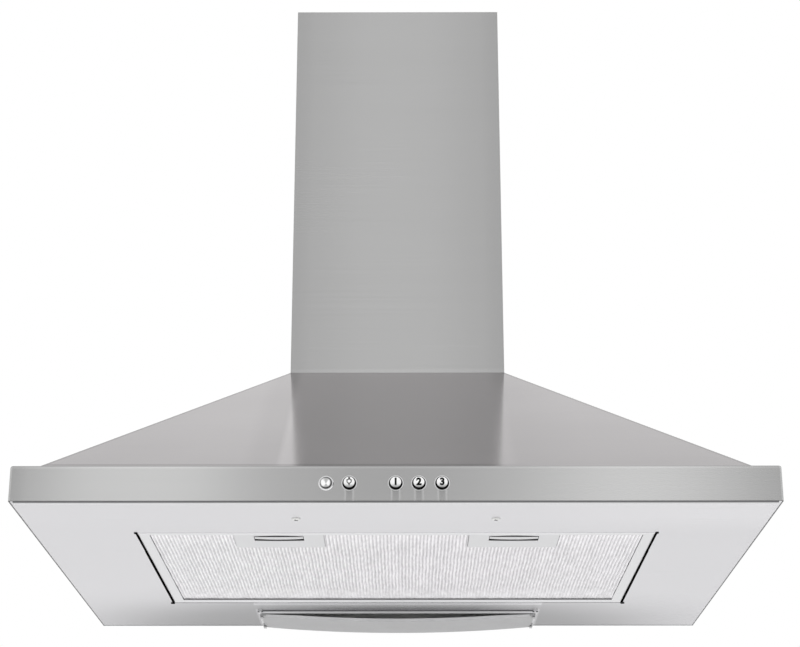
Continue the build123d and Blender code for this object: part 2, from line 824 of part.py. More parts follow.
with BuildPart() as pilot_lens:
    with Locations(Plane((first_slot, switch_y, control_z), z_dir=(0, -1, 0))):
        Cylinder(
            pilot_radius, switch_y - front + pilot_proud,
            align=(Align.CENTER, Align.CENTER, Align.MIN),
        )
    with Locations(Plane((first_slot, front - pilot_proud, control_z), z_dir=(0, 1, 0))):
        Cone(
            pilot_dish_radius, 0, pilot_dish_depth,
            align=(Align.CENTER, Align.CENTER, Align.MIN), mode=Mode.SUBTRACT,
        )
write(pilot_lens, "pilot_lens")

with BuildPart() as pilot_bezel_ring:
    with BuildSketch(Plane.XZ.offset(-front)):
        with Locations((first_slot, control_z)):
            Circle(pilot_radius + seat_gap + pilot_bezel)
            Circle(pilot_radius + seat_gap / 2, mode=Mode.SUBTRACT)
    extrude(amount=pilot_bezel_height)
    outer_rim = pilot_bezel_ring.edges().group_by(Axis.Y)[0].sort_by(SortBy.LENGTH)[-1]
    chamfer(outer_rim, pilot_bezel_edge)
write(pilot_bezel_ring, "pilot_bezel")

# ---------------------------------------------------------------- blower
axis_y = -scroll_back
scroll_end = scroll_start + 2 * scroll_step
axis_z = scroll_foot + scroll_start + 1.5 * scroll_step
axis_plane = Plane((0, axis_y, axis_z), x_dir=(0, 1, 0), z_dir=(1, 0, 0))
plate_low = z_top - sheet - plate_thickness
mouth_low_y = axis_y - scroll_step / 2
mouth_high_y = axis_y + scroll_step / 2 + scroll_end
mouth_mid_y = (mouth_low_y + mouth_high_y) / 2
shell_half = scroll_width / 2
bracket_x = shell_half + bush_length
motor_x = bracket_x + bracket_thickness
bracket_angles = (90, 210, 330)
blower_screws = [
    (side * (shell_half + mouth_flange / 2), mouth_mid_y + end * (mouth_high_y - mouth_low_y) / 4)
    for side in (-1, 1)
    for end in (-1, 1)
]


def scroll_sketch(inset):
    """The scroll's side view: three quarter turns of growing radius and an upward mouth."""
    low_y, high_y = axis_y - scroll_step / 2, axis_y + scroll_step / 2
    low_z, high_z = axis_z - scroll_step / 2, axis_z + scroll_step / 2
    r_1, r_2, r_3 = (scroll_start + i * scroll_step - inset for i in range(3))
    with BuildSketch(Plane.YZ) as side_view:
        with BuildLine():
            CenterArc((low_y, low_z), r_1, 90, 90)
            CenterArc((high_y, low_z), r_2, 180, 90)
            CenterArc((high_y, high_z), r_3, 270, 90)
            Polyline(
                (high_y + r_3, high_z), (high_y + r_3, plate_low),
                (low_y + inset, plate_low), (low_y + inset, low_z + r_1),
            )
            if inset:
                Line((low_y + inset, low_z + r_1), (low_y, low_z + r_1))
        make_face()
    return side_view.sketch


def blower_half(side):
    """One half of the plastic scroll, split at its middle, with its inlet and mouth flange."""
    with BuildPart() as shell:
        extrude(scroll_sketch(0), amount=shell_half, dir=(side, 0, 0))
        near, far = sorted((0, side * (shell_half + mouth_flange)))
        box_between(
            near, far, mouth_low_y - mouth_flange, mouth_high_y + mouth_flange,
            plate_low - scroll_wall, plate_low,
        )
        extrude(
            scroll_sketch(scroll_wall), amount=shell_half - scroll_wall, dir=(side, 0, 0),
            mode=Mode.SUBTRACT,
        )
        # the inlet's mouth is a short sleeve that reaches towards the impeller's eye
        with Locations(Plane((side * shell_half, axis_y, axis_z), z_dir=(-side, 0, 0))):
            Cylinder(
                inlet_radius + scroll_wall, inlet_depth,
                align=(Align.CENTER, Align.CENTER, Align.MIN),
            )
            Cylinder(
                inlet_radius, inlet_depth,
                align=(Align.CENTER, Align.CENTER, Align.MIN), mode=Mode.SUBTRACT,
            )
        with Locations(*[(x, y, plate_low) for x, y in blower_screws if x * side > 0]):
            Hole(screw_radius + screw_gap, depth=scroll_wall)
        if side > 0:
            with Locations(axis_plane.offset(shell_half)):
                with Locations(*[Vector(bracket_reach, 0).rotate(Axis.Z, a) for a in bracket_angles]):
                    Hole(screw_radius + screw_gap, depth=scroll_wall)
    return shell


for side, name in ((-1, "left"), (1, "right")):
    write(blower_half(side), f"blower_shell_{name}")

with BuildPart() as impeller_disc:
    with Locations(axis_plane):
        Cylinder(impeller_radius, hub_disc)
        Cylinder(hub_radius, hub_length)
        Cylinder(shaft_radius + shaft_gap, hub_length, mode=Mode.SUBTRACT)
write(impeller_disc, "impeller_disc")


def blade_section():
    """One curved blade seen along the axis, drawn at its place beside it."""
    root = Vector(impeller_eye + blade_inset, 0)
    tip = Vector(impeller_radius - blade_tip_inset, 0).rotate(Axis.Z, blade_lean)
    middle = (root + tip) / 2 - Vector(0, blade_bow)
    across = Vector(0, blade_thickness)
    with BuildSketch() as section:
        with BuildLine():
            rear_arc = ThreePointArc(root, middle, tip)
            front_arc = ThreePointArc(root + across, middle + across, tip + across)
            Line(rear_arc @ 0, front_arc @ 0)
            Line(rear_arc @ 1, front_arc @ 1)
        make_face()
    return section.sketch


def blades(side):
    """The blades on one side of the disc, each a pressed strip between the disc and the rim."""
    foot = hub_disc / 2
    with BuildPart() as strips:
        with BuildSketch(axis_plane.offset(side * foot)):
            with PolarLocations(0, blade_count):
                add(blade_section())
        extrude(amount=side * (rim_inside - foot))
    return strips


def rim(side):
    """The ring that joins the blades' ends at the inlet."""
    with BuildPart() as ring:
        with BuildSketch(axis_plane.offset(side * rim_inside)):
            Circle(impeller_radius)
            Circle(impeller_eye, mode=Mode.SUBTRACT)
        extrude(amount=side * rim_thickness)
    return ring


rim_inside = impeller_width / 2 - rim_thickness
for side, name in ((-1, "left"), (1, "right")):
    write(blades(side), f"blades_{name}")
    write(rim(side), f"impeller_rim_{name}")

motor_end = motor_x + motor_length
with BuildPart() as motor_shaft:
    with Locations(Plane((-hub_length / 2, axis_y, axis_z), z_dir=(1, 0, 0))):
        Cylinder(
            shaft_radius, hub_length / 2 + motor_end - shaft_end,
            align=(Align.CENTER, Align.CENTER, Align.MIN),
        )
write(motor_shaft, "motor_shaft")

with BuildPart() as motor:
    with Locations(Plane((motor_x, axis_y, axis_z), z_dir=(1, 0, 0))):
        Cylinder(motor_radius, motor_length, align=(Align.CENTER, Align.CENTER, Align.MIN))
        chamfer(motor.edges().filter_by(GeomType.CIRCLE), motor_edge)
        with Locations((0, 0, motor_length)):
            Cylinder(motor_boss, motor_boss_length, align=(Align.CENTER, Align.CENTER, Align.MIN))
        Cylinder(
            shaft_radius + shaft_gap, motor_length - shaft_end / 2,
            align=(Align.CENTER, Align.CENTER, Align.MIN), mode=Mode.SUBTRACT,
        )
write(motor, "motor")

with BuildPart() as motor_bracket:
    with BuildSketch(axis_plane.offset(bracket_x)):
        Circle(motor_radius - motor_edge)
        for angle in bracket_angles:
            along = Vector(bracket_reach / 2, 0).rotate(Axis.Z, angle)
            with Locations(Location(along, (0, 0, angle))):
                SlotCenterToCenter(bracket_reach, bracket_arm)
        Circle(bracket_hole, mode=Mode.SUBTRACT)
        for angle in bracket_angles:
            with Locations(Vector(bracket_reach, 0).rotate(Axis.Z, angle)):
                Circle(screw_radius + screw_gap, mode=Mode.SUBTRACT)
    extrude(amount=bracket_thickness)
write(motor_bracket, "motor_bracket")

with BuildPart() as rubber_bushes:
    with Locations(axis_plane.offset(shell_half)):
        with Locations(*[Vector(bracket_reach, 0).rotate(Axis.Z, a) for a in bracket_angles]):
            Cylinder(bush_radius, bush_length, align=(Align.CENTER, Align.CENTER, Align.MIN))
            Cylinder(
                screw_radius + screw_gap, bush_length,
                align=(Align.CENTER, Align.CENTER, Align.MIN), mode=Mode.SUBTRACT,
            )
write(rubber_bushes, "rubber_bushes")

with BuildPart() as motor_screws:
    with Locations(axis_plane.offset(motor_x)):
        with Locations(*[Vector(bracket_reach, 0).rotate(Axis.Z, a) for a in bracket_angles]):
            screw(bracket_thickness + bush_length + scroll_wall)
write(motor_screws, "motor_screws")

# ---------------------------------------------------------------- outlet
plate_top_z = plate_low + plate_thickness
spigot_z = plate_top_z + spigot_base_thickness
axle_z = spigot_z + axle_height
bore_radius = spigot_radius - spigot_wall
plate_half = chimney_half - plate_margin
spigot_screws = [
    (x * spigot_screw_spacing / 2, mouth_mid_y + y * spigot_screw_spacing / 2)
    for x in (-1, 1)
    for y in (-1, 1)
]
grommet_outer = cable_radius + grommet_wall
grommet_x = chimney_half - grommet_side
# midway between the canopy's front flange and the blower's
grommet_y = (-chimney_depth + top_flange + mouth_low_y - mouth_flange) / 2

with BuildPart() as outlet_plate:
    box_between(
        -plate_half, plate_half, -chimney_depth + plate_margin, -plate_margin, plate_low, plate_top_z
    )
    with Locations((0, mouth_mid_y, plate_top_z)):
        Hole(bore_radius, depth=plate_thickness)
    with Locations(*[(x, y, plate_top_z) for x, y in plate_screws + blower_screws + spigot_screws]):
        Hole(screw_radius + screw_gap, depth=plate_thickness)
    with Locations((grommet_x, grommet_y, plate_top_z)):
        Hole(grommet_outer, depth=plate_thickness)
write(outlet_plate, "outlet_plate")

with BuildPart() as cable_grommet:
    with BuildSketch(Plane.XZ.offset(-grommet_y)):
        # section to one side of the bore: a ring with a groove for the plate
        with BuildLine():
            low, high = plate_low - grommet_flange, plate_top_z + grommet_flange
            inner, waist = grommet_x + cable_radius, grommet_x + grommet_outer
            outer = waist + grommet_wall
            Polyline(
                (inner, low), (outer, low), (outer, plate_low), (waist, plate_low),
                (waist, plate_top_z), (outer, plate_top_z), (outer, high), (inner, high), close=True,
            )
        make_face()
    revolve(axis=Axis((grommet_x, grommet_y, 0), (0, 0, 1)))
write(cable_grommet, "cable_grommet")

with BuildPart() as outlet_spigot:
    box_between(
        -spigot_base / 2, spigot_base / 2,
        mouth_mid_y - spigot_base / 2, mouth_mid_y + spigot_base / 2, plate_top_z, spigot_z,
    )
    fillet(outlet_spigot.edges().filter_by(Axis.Z), spigot_base_corner)
    with Locations((0, mouth_mid_y, spigot_z)):
        Cylinder(spigot_radius, spigot_height, align=(Align.CENTER, Align.CENTER, Align.MIN))
        Cylinder(
            bore_radius, 2 * (spigot_height + spigot_base_thickness), mode=Mode.SUBTRACT
        )
    # the ring that the closed flaps lie on
    with Locations((0, mouth_mid_y, axle_z - flap_thickness / 2 - seat_gap)):
        Cylinder(bore_radius, flap_stop_thickness, align=(Align.CENTER, Align.CENTER, Align.MAX))
        Cylinder(
            bore_radius - flap_stop, flap_stop_thickness,
            align=(Align.CENTER, Align.CENTER, Align.MAX), mode=Mode.SUBTRACT,
        )
    with Locations(Plane((0, mouth_mid_y, axle_z), z_dir=(1, 0, 0))):
        Cylinder(axle_radius + shaft_gap, 2 * spigot_radius, mode=Mode.SUBTRACT)
    with Locations(*[(x, y, spigot_z) for x, y in spigot_screws]):
        Hole(screw_radius + screw_gap, depth=spigot_base_thickness)
write(outlet_spigot, "outlet_spigot")

with BuildPart() as flap_axle:
    with Locations(Plane((0, mouth_mid_y, axle_z), z_dir=(1, 0, 0))):
        Cylinder(axle_radius, 2 * spigot_radius)
write(flap_axle, "flap_axle")

knuckle_outer = axle_radius + knuckle_gap + knuckle_wall


def flap(side):
    """A half-round flap with every other knuckle on the axle, and notches for the other flap's."""
    flap_radius = bore_radius - flap_rim_gap
    plane = Plane.XY.offset(axle_z - flap_thickness / 2)
    first = -knuckle_length * (knuckles - 1) / 2
    with BuildPart() as leaf:
        with BuildSketch(plane):
            with Locations((0, mouth_mid_y)):
                Circle(flap_radius)
            straight_edge = mouth_mid_y + side * flap_root
            near, far = sorted((straight_edge, straight_edge - side * 2 * spigot_radius))
            rect_between(-spigot_radius, spigot_radius, near, far, Mode.SUBTRACT)
            for i in range(knuckles):
                x = first + i * knuckle_length
                if (i % 2 == 0) == (side > 0):
                    with Locations((x, mouth_mid_y + side * knuckle_outer / 2)):
                        Rectangle(knuckle_length - 2 * knuckle_side_gap, knuckle_outer)
                else:
                    with Locations((x, mouth_mid_y + side * knuckle_outer / 2)):
                        Rectangle(
                            knuckle_length, knuckle_outer + 2 * knuckle_side_gap, mode=Mode.SUBTRACT
                        )
        extrude(amount=flap_thickness)
        for i in range(knuckles):
            if (i % 2 == 0) == (side > 0):
                middle = Plane((first + i * knuckle_length, mouth_mid_y, axle_z), z_dir=(1, 0, 0))
                with Locations(middle):
                    Cylinder(knuckle_outer, knuckle_length - 2 * knuckle_side_gap)
                    Cylinder(axle_radius + knuckle_gap, knuckle_length, mode=Mode.SUBTRACT)
    return leaf


write(flap(-1), "flap_front")
write(flap(1), "flap_rear")

with BuildPart() as outlet_screws:
    with Locations(*[(x, y, z_top) for x, y in plate_screws]):
        screw(sheet + plate_thickness + screw_tip)
    with Locations(*[(x, y, spigot_z) for x, y in spigot_screws]):
        screw(spigot_base_thickness + plate_thickness)
    under_flange = plate_low - scroll_wall
    with Locations(*[Location((x, y, under_flange), (180, 0, 0)) for x, y in blower_screws]):
        screw(scroll_wall + plate_thickness + screw_tip)
write(outlet_screws, "outlet_screws")

# ---------------------------------------------------------------- wiring
capacitor_y = -rear_sheet - clip_thickness / 2 - seat_gap - capacitor_radius
with BuildPart() as capacitor:
    with Locations((capacitor_x, capacitor_y, capacitor_z)):
        Cylinder(capacitor_radius, capacitor_height, align=(Align.CENTER, Align.CENTER, Align.MIN))
    chamfer(capacitor.edges().filter_by(GeomType.CIRCLE), capacitor_edge)
write(capacitor, "capacitor")

with BuildPart() as capacitor_clip:
    with BuildSketch(Plane.XY.offset(capacitor_z + (capacitor_height - clip_band) / 2)):
        with Locations((capacitor_x, capacitor_y)):
            Circle(capacitor_radius + seat_gap + clip_thickness)
        rect_between(
            capacitor_x - capacitor_radius - clip_band, capacitor_x + capacitor_radius + clip_band,
            -rear_sheet - clip_thickness, -rear_sheet,
        )
        with Locations((capacitor_x, capacitor_y)):
            Circle(capacitor_radius + seat_gap, mode=Mode.SUBTRACT)
        rect_between(-hood_width, hood_width, -rear_sheet, hood_width, Mode.SUBTRACT)
    extrude(amount=clip_band)
write(capacitor_clip, "capacitor_clip")

terminal_front = -rear_sheet - terminal_depth
terminal_left, terminal_right = terminal_x - terminal_width / 2, terminal_x + terminal_width / 2
terminal_top = terminal_z + terminal_height
with BuildPart() as terminal_box:
    box_between(terminal_left, terminal_right, terminal_front, -rear_sheet, terminal_z, terminal_top)
    fillet(terminal_box.edges().filter_by(Axis.Y), terminal_corner)
    box_between(
        terminal_left + terminal_wall, terminal_right - terminal_wall,
        terminal_front, -rear_sheet - terminal_wall,
        terminal_z + terminal_wall, terminal_top - terminal_wall, Mode.SUBTRACT,
    )
    with Locations((terminal_x, -rear_sheet - terminal_depth / 2, terminal_top)):
        Hole(cable_radius, depth=terminal_wall)
write(terminal_box, "terminal_box")

with BuildPart() as terminal_lid:
    box_between(
        terminal_left, terminal_right, terminal_front - terminal_wall, terminal_front,
        terminal_z, terminal_top,
    )
    fillet(terminal_lid.edges().filter_by(Axis.Y), terminal_corner)
    chamfer(terminal_lid.faces().sort_by(Axis.Y)[0].edges(), terminal_edge)
write(terminal_lid, "terminal_lid")

# ---------------------------------------------------------------- chimney sleeves
def sleeve_section(half, near, far):
    """The section of a sleeve: a square tube whose rear is open between two flanges."""
    with BuildSketch() as section:
        rect_between(-half, half, near, far)
        rect_between(-half + sheet, half - sheet, near + sheet, far - sheet, Mode.SUBTRACT)
        rect_between(-half + chimney_return, half - chimney_return, far - sheet, far, Mode.SUBTRACT)
    return section.sketch


sleeve_half = chimney_half - sheet - sleeve_gap
sleeve_front = -chimney_depth + sheet + sleeve_gap
sleeve_rear = -sheet - sleeve_gap
sleeve_foot = z_top + collar_height + seat_gap
sleeve_top = z_chimney - sleeve_step

with BuildPart() as chimney_outer:
    with BuildSketch(Plane.XY.offset(z_top)):
        add(sleeve_section(chimney_half, -chimney_depth, 0))
    extrude(amount=chimney_height)
    with BuildSketch(Plane.YZ.offset(-chimney_half)):
        with Locations((chimney_screw_y, chimney_screw_z)):
            Circle(screw_radius + screw_gap)
    extrude(amount=chimney_width, mode=Mode.SUBTRACT)
write(chimney_outer, "chimney_outer")

with BuildPart() as chimney_inner:
    with BuildSketch(Plane.XY.offset(sleeve_foot)):
        add(sleeve_section(sleeve_half, sleeve_front, sleeve_rear))
    extrude(amount=sleeve_top - sleeve_foot)
    with BuildSketch(Plane.YZ.offset(-chimney_half)):
        with Locations(((sleeve_front + sleeve_rear) / 2, sleeve_top - vent_drop)):
            with GridLocations(vent_length, vent_pitch, 1, vent_count):
                Rectangle(vent_length, vent_height)
    extrude(amount=chimney_width, mode=Mode.SUBTRACT)
write(chimney_inner, "chimney_inner")

with BuildPart() as chimney_screws:
    for side in (-1, 1):
        seat = Plane((side * chimney_half, chimney_screw_y, chimney_screw_z), z_dir=(side, 0, 0))
        with Locations(seat):
            screw(2 * sheet + seat_gap + screw_tip)
write(chimney_screws, "chimney_screws")

# A folded strip whose ears lie inside the inner sleeve fixes it to the wall under the ceiling.
with BuildPart() as ceiling_bracket:
    fold_y = -bracket_sheet / 2
    ear_x = sleeve_half - sheet - seat_gap - bracket_sheet / 2
    strip_half = chimney_half - chimney_return - bracket_side_gap
    with BuildSketch(Plane.XY.offset(sleeve_top - bracket_drop - bracket_height)):
        with BuildLine():
            Polyline(
                (-ear_x, -bracket_step - bracket_ear), (-ear_x, -bracket_step),
                (-strip_half, -bracket_step), (-strip_half, fold_y),
                (strip_half, fold_y), (strip_half, -bracket_step),
                (ear_x, -bracket_step), (ear_x, -bracket_step - bracket_ear),
            )
        trace(line_width=bracket_sheet)
    extrude(amount=bracket_height)
    with BuildSketch(Plane.XZ):
        hole_z = sleeve_top - bracket_drop - bracket_height / 2
        with Locations((-bracket_hole_x, hole_z), (bracket_hole_x, hole_z)):
            Circle(bracket_hole_radius)
    extrude(amount=bracket_sheet, mode=Mode.SUBTRACT)
write(ceiling_bracket, "ceiling_bracket")
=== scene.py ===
"""Looks of the chimney range hood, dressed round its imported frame.

Sizes are in metres unless a name says otherwise, and most places come from the frame's own boxes.
"""

import json
import math

import bmesh
import bpy
from mathutils import Matrix, Vector


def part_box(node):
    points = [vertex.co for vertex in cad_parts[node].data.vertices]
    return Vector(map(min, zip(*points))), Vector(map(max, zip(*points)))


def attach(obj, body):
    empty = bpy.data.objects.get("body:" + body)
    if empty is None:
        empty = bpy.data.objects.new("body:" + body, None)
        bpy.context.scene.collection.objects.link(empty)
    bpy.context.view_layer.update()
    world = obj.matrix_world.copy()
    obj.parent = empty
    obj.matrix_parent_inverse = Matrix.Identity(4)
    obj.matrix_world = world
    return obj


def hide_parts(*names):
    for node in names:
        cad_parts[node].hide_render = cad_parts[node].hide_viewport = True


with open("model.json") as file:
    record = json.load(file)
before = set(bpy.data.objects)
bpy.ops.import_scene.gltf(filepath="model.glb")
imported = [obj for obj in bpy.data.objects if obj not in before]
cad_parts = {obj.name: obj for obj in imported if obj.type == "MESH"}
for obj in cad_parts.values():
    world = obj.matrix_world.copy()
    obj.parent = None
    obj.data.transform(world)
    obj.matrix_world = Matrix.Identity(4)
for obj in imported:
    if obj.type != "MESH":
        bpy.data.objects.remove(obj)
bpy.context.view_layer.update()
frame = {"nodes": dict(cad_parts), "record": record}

MM = 0.001
scene = bpy.context.scene

# ---------------------------------------------------------------- camera, from the straight edges
CAMERA_PLACE = (0.00723, -1.9356, -0.37529)
CAMERA_PITCH = 19.947  # degrees above the horizon
CAMERA_YAW = 0.155
LENS_MM = 86.12
SENSOR_MM = 36.0

# ---------------------------------------------------------------- sizes of the dressed pieces
BUTTON_RADIUS = 5.3 * MM
BUTTON_FACE_RADIUS = 4.3 * MM
BUTTON_FACE_DEPTH = 1.2 * MM
BUTTON_DOME = 0.5 * MM
BUTTON_FLANGE = (4.7 * MM, 5.9 * MM)  # its two sides, behind the button's front
BUTTON_STEM_RADIUS = 3.0 * MM
RING_RADII = (BUTTON_RADIUS + 0.08 * MM, BUTTON_RADIUS + 0.75 * MM)
RING_WALL = 0.2 * MM
RING_PROUD = 0.05 * MM
RING_DEPTH = 0.7 * MM
RING_STEPS = 48
GLYPH_HEIGHT = 5.6 * MM
GLYPH_PROUD = 0.06 * MM
GLYPH_DEPTH = 0.2 * MM
GLYPH_BOLD = 0.36 * MM
SIGN_RADIUS = 1.65 * MM
SIGN_WEIGHT = 0.62 * MM
SCREW_HEAD_RADIUS = 3.6 * MM
SCREW_HEAD_HEIGHT = 1.4 * MM
SCREW_SHANK_RADIUS = 1.9 * MM
RIDGE_COUNT = 140
RIDGE_STEPS = 8  # points along one ridge's round
RIDGE_ROWS = 26  # steps along the ridges' full part
RIDGE_SHEET = 0.3 * MM
RIDGE_WANDER = ((0.16 * MM, 95.0, 0.011), (0.1 * MM, 233.0, -0.023))  # size, turn along Y, turn per point
WANDER_FADE = 6.0 * MM  # the ridges run straight at the sheet's sides
RIDGES_FADE = (-170.0 * MM, -127.4 * MM, -126.4 * MM)  # where the ridges flatten, and where the sheet ends
SHEET_GAP = 0.3 * MM  # round the latch plates
# a dark strip of painted shadow where the ridges meet the filter frame's rear border
RIDGES_SHADOW_STRIP = ((-204.3 * MM, -127.1 * MM, 0.28 * MM), (204.3 * MM, -126.5 * MM, 0.85 * MM))
FILTER_BEAD = ((-213.3 * MM, -394.9 * MM, 0.12 * MM), (213.3 * MM, -392.2 * MM, 0.26 * MM))
PULL_BOW = 3.0 * MM  # of the pull's rear edge
PULL_FRONT = 1.3 * MM  # how far the dressed pull's front lies behind the plain one's
PULL_LIP_HEIGHT = 0.8 * MM
PULL_LIP_ROUNDING = 0.25 * MM
CORE_SHARE = 0.97  # of the lip's width
CORE_INSETS = (0.3 * MM, 0.5 * MM)  # at the front and the rear
MOUTH_FRONT, MOUTH_FRONT_ENDS = -384.5 * MM, -381.5 * MM  # of the finger cups' front edges
MOUTH_EDGE_PAST = 0.4 * MM  # to each side of the pull
MOUTH_EDGE_WIDTH = 1.5 * MM
MOUTH_EDGE_Z = (-0.45 * MM, 0.1 * MM)  # from the latch plate's underside
MOUTH_EDGE_ROUNDING = 0.2 * MM
FOLD_HALF = 296.0 * MM  # of the painted shadow strip and the hem under the band
FOLD_Z = -1.2 * MM  # where the painted shadow strip meets the hem
FOLD_SHADOW_DEPTHS = (0.4 * MM, 1.4 * MM)  # its front and its back, behind the band's face
FOLD_SHADOW_TOP = 0.05 * MM
HEM_DEPTHS = (0.35 * MM, 1.5 * MM)
HEM_HEIGHT = 1.0 * MM
HEM_ROUNDING = 0.15 * MM
# black strips and round ends of painted shadow in the gaps at the filter's sides
SIDE_SHADOW_Z = (-0.3 * MM, 0.2 * MM)
PANEL_GAP_SHADOW_Z = (-0.1 * MM, 0.3 * MM)
PANEL_GAP_SHADOW_END_Z = (-0.4 * MM, 0.3 * MM)
PANEL_GAP_SHADOW_END_RADIUS = 1.9 * MM
# dark dots of painted shadow at the ends of the lamp frame's front, and a dark strip of painted shadow along
# its front
LAMP_DOT_INSETS = (0.6 * MM, 4.0 * MM)  # from the lamp frame's sides
LAMP_DOT_BACK = 0.9 * MM  # from its front
LAMP_DOT_Z = (-0.25 * MM, 0.2 * MM)  # from its underside
LAMP_DOT_RADIUS = 1.1 * MM
LAMP_SHADOW_INSET = 4.0 * MM
LAMP_SHADOW_GAP = 0.05 * MM  # under it and over it
LAMP_SHADOW_DEPTHS = (-0.15 * MM, 0.05 * MM)  # its front and its back, behind the frame's front
DIFFUSER_SHEET = 1.8 * MM
RIM_HALF = 130.0 * MM
RIM_FOOT = 0.05 * MM  # above the sheet's lower side
RIM_RISE = 1.25 * MM
RIM_TAPER = 30.0 * MM
RIM_DEPTHS = (-0.05 * MM, 1.0 * MM)  # its front and its back, behind the sheet's front edge
FLOOR_Z = -1.15
# outlines on the right of the middle, as (x, y) in mm
SIDE_SHADOW_STRIP = ((213.2, -395.5), (214.9, -395.5), (215.15, -118.0), (213.8, -118.0))
SIDE_SHADOW_TICK = ((213.5, -397.0), (216.0, -397.0), (216.0, -394.2), (213.5, -394.2))
PANEL_GAP_SHADOW = ((215.4, -330.0), (216.1, -112.0), (214.25, -112.0), (214.25, -117.5), (215.4, -117.5))
PANEL_GAP_SHADOW_END = (216.2, -113.0)


# ---------------------------------------------------------------- light and dark zones, painted light and shade on the surfaces, and the studio's panels: (mm, factor)
# painted reflection across the chimney's front, and a painted highlight at its foot
CHIMNEY_PAINTED_SHEEN = ((-103, 0.80), (-85, 0.87), (-35, 1.03), (35, 1.03), (85, 0.87), (103, 0.80))
CHIMNEY_FOOT_HIGHLIGHT = ((209, 1.07), (212.5, 1.05), (214, 1.0))
BAND_FACE_Y = -498.3 * MM  # only the band's face lies in front of this
# painted reflection in wide light and dark zones across the band's front
BAND_PAINTED_REFLECTION = (
    (-300, 0.80), (-286, 0.93), (-249, 1.15), (-214, 1.15), (-156, 1.12), (-113, 0.92), (-77, 0.87),
    (-16, 0.82), (61, 0.89), (112, 1.01), (166, 1.17), (220, 1.14), (267, 0.96), (300, 0.82),
)
# a painted shadow along the band's foot, and a painted light line and dark line along its top edge
BAND_FOOT_SHADOW = ((0.0, 0.45), (0.3, 0.5), (0.55, 1.0))
BAND_TOP_REFLECTION = ((25.6, 1.0), (26.6, 1.10), (27.3, 1.08), (27.75, 0.62), (28.5, 0.55))
BUTTON_PITCH = 18.0 * MM
BUTTON_SHADE = ((10.0, 0.30), (11.2, 0.52), (12.6, 0.90), (13.6, 1.0))
# the painted reflection streak under a button by the distance from its middle, and the spans of the band with
# buttons
BUTTON_REFLECTION_STREAKS = ((0.0, 0.84), (1.7, 0.86), (2.4, 1.0), (3.0, 1.30), (3.7, 1.12), (4.5, 1.0), (9.0, 1.0))
STREAKS_TOP = 9.75 * MM
STREAKS_FADE = 9.0 * MM
STREAK_SPANS = ((-45.0 * MM, -27.0 * MM), (-9.0 * MM, 45.0 * MM))
# painted shade: the canopy darker towards its foot and in a line under the chimney, painted reflection
# varying across its width, and painted dark lines above the band and along the hips
SLOPE_PAINTED_SHADE = ((28, 0.705), (80, 0.76), (140, 0.83), (205, 0.90), (208.2, 0.88), (209.5, 0.66))
SLOPE_SIDE_REFLECTION = (
    (-240, 0.955), (-158, 0.965), (-125, 0.955), (-111, 0.885), (-96, 0.885), (-91, 1.08), (-70, 1.03),
    (-55, 1.0), (84, 1.0), (92, 0.93), (99, 0.865), (112, 0.87), (158, 0.95), (221, 0.975),
)
SLOPE_FOOT_SHADE = ((28.0, 1.0), (36.9, 0.71), (38.2, 1.0))
SLOPE_FOOT_FADE = (55.0 * MM, 108.0 * MM)  # the painted dark line above the band fades out between these
# a hip runs from the chimney's corner to the band's, as (x, y)
HIP_TOP, HIP_FOOT = (103.0 * MM, -185.0 * MM), (287.0 * MM, -487.0 * MM)
HIP_EDGE_SHADE = ((0.0, 0.74), (2.0, 0.80), (4.0, 1.0))
# the shade at the underside's rear: its middle, the half of its level part, and its reach
PANEL_SHADE_MIDDLE = -19.0 * MM
PANEL_SHADE_HALF = 95.0 * MM
PANEL_SHADE_X = 290.0 * MM
PANEL_SHADE_Y = 150.0 * MM
PANEL_SHADE_ZONES = ((0.45, 0.36), (0.70, 0.44), (0.90, 0.68), (1.10, 0.90), (1.3, 0.97), (1.45, 1.0))  # by share
# painted reflection: the underside's front a little brighter towards the right
PANEL_FRONT_REFLECTION = ((-300, 1.01), (100, 1.02), (180, 1.07), (300, 1.09))
PANEL_FRONT_FADE = (-450.0 * MM, -400.0 * MM)
PANEL_STREAKS = (
    (-119, 1.0), (-117.5, 0.9), (-115.5, 1.28), (-110, 1.30), (-104, 1.5), (-102, 1.3), (-99, 0.95),
    (-95, 1.1), (-90, 1.05), (-85, 1.0), (-82, 1.45), (-60, 1.5),
)
PANEL_STREAKS_HALF = 139.0 * MM
PANEL_SCREW = (80.0 * MM, -443.0 * MM)
# painted shade in the middle of the panel's screw heads, and a painted highlight ring round it
RECESS_SHADE = ((0.0, 0.03), (1.1, 0.04), (1.5, 0.6), (1.8, 1.25), (2.6, 1.25), (3.2, 0.9))
# painted highlights to the sides of the pilot's lens, in a painted dark ring of shade
PILOT_PLACE = (-54.0 * MM, 14.25 * MM)
PILOT_SHIFT = 0.4 * MM
PILOT_GLINTS = ((0.0, 0.42), (0.3, 0.44), (0.55, 0.66), (0.8, 0.95), (1.0, 0.90))  # by |x| over the radius
PILOT_RING_SHADE = ((0.0, 0.8), (0.8, 1.0), (2.9, 1.0), (3.6, 0.75), (4.0, 0.10), (5.0, 0.03))
# the filter's ridges: painted shade by height, darker in the valleys and lighter on the crests, from the
# crest below to the valley above
RIDGE_HEIGHT_SHADE = ((1.4, 1.14), (2.0, 1.02), (2.9, 0.74))
# the ridges darker towards the filter's rear
RIDGE_REAR = ((-190, 1.0), (-150, 0.93), (-127, 0.87))
# the studio's bright panels: grey by how far a direction lies to the side
STUDIO_PANELS = (
    (0.0, 0.66), (0.05, 0.68), (0.10, 0.95), (0.15, 0.95), (0.21, 0.60), (0.5, 0.75), (1.0, 1.0),
)


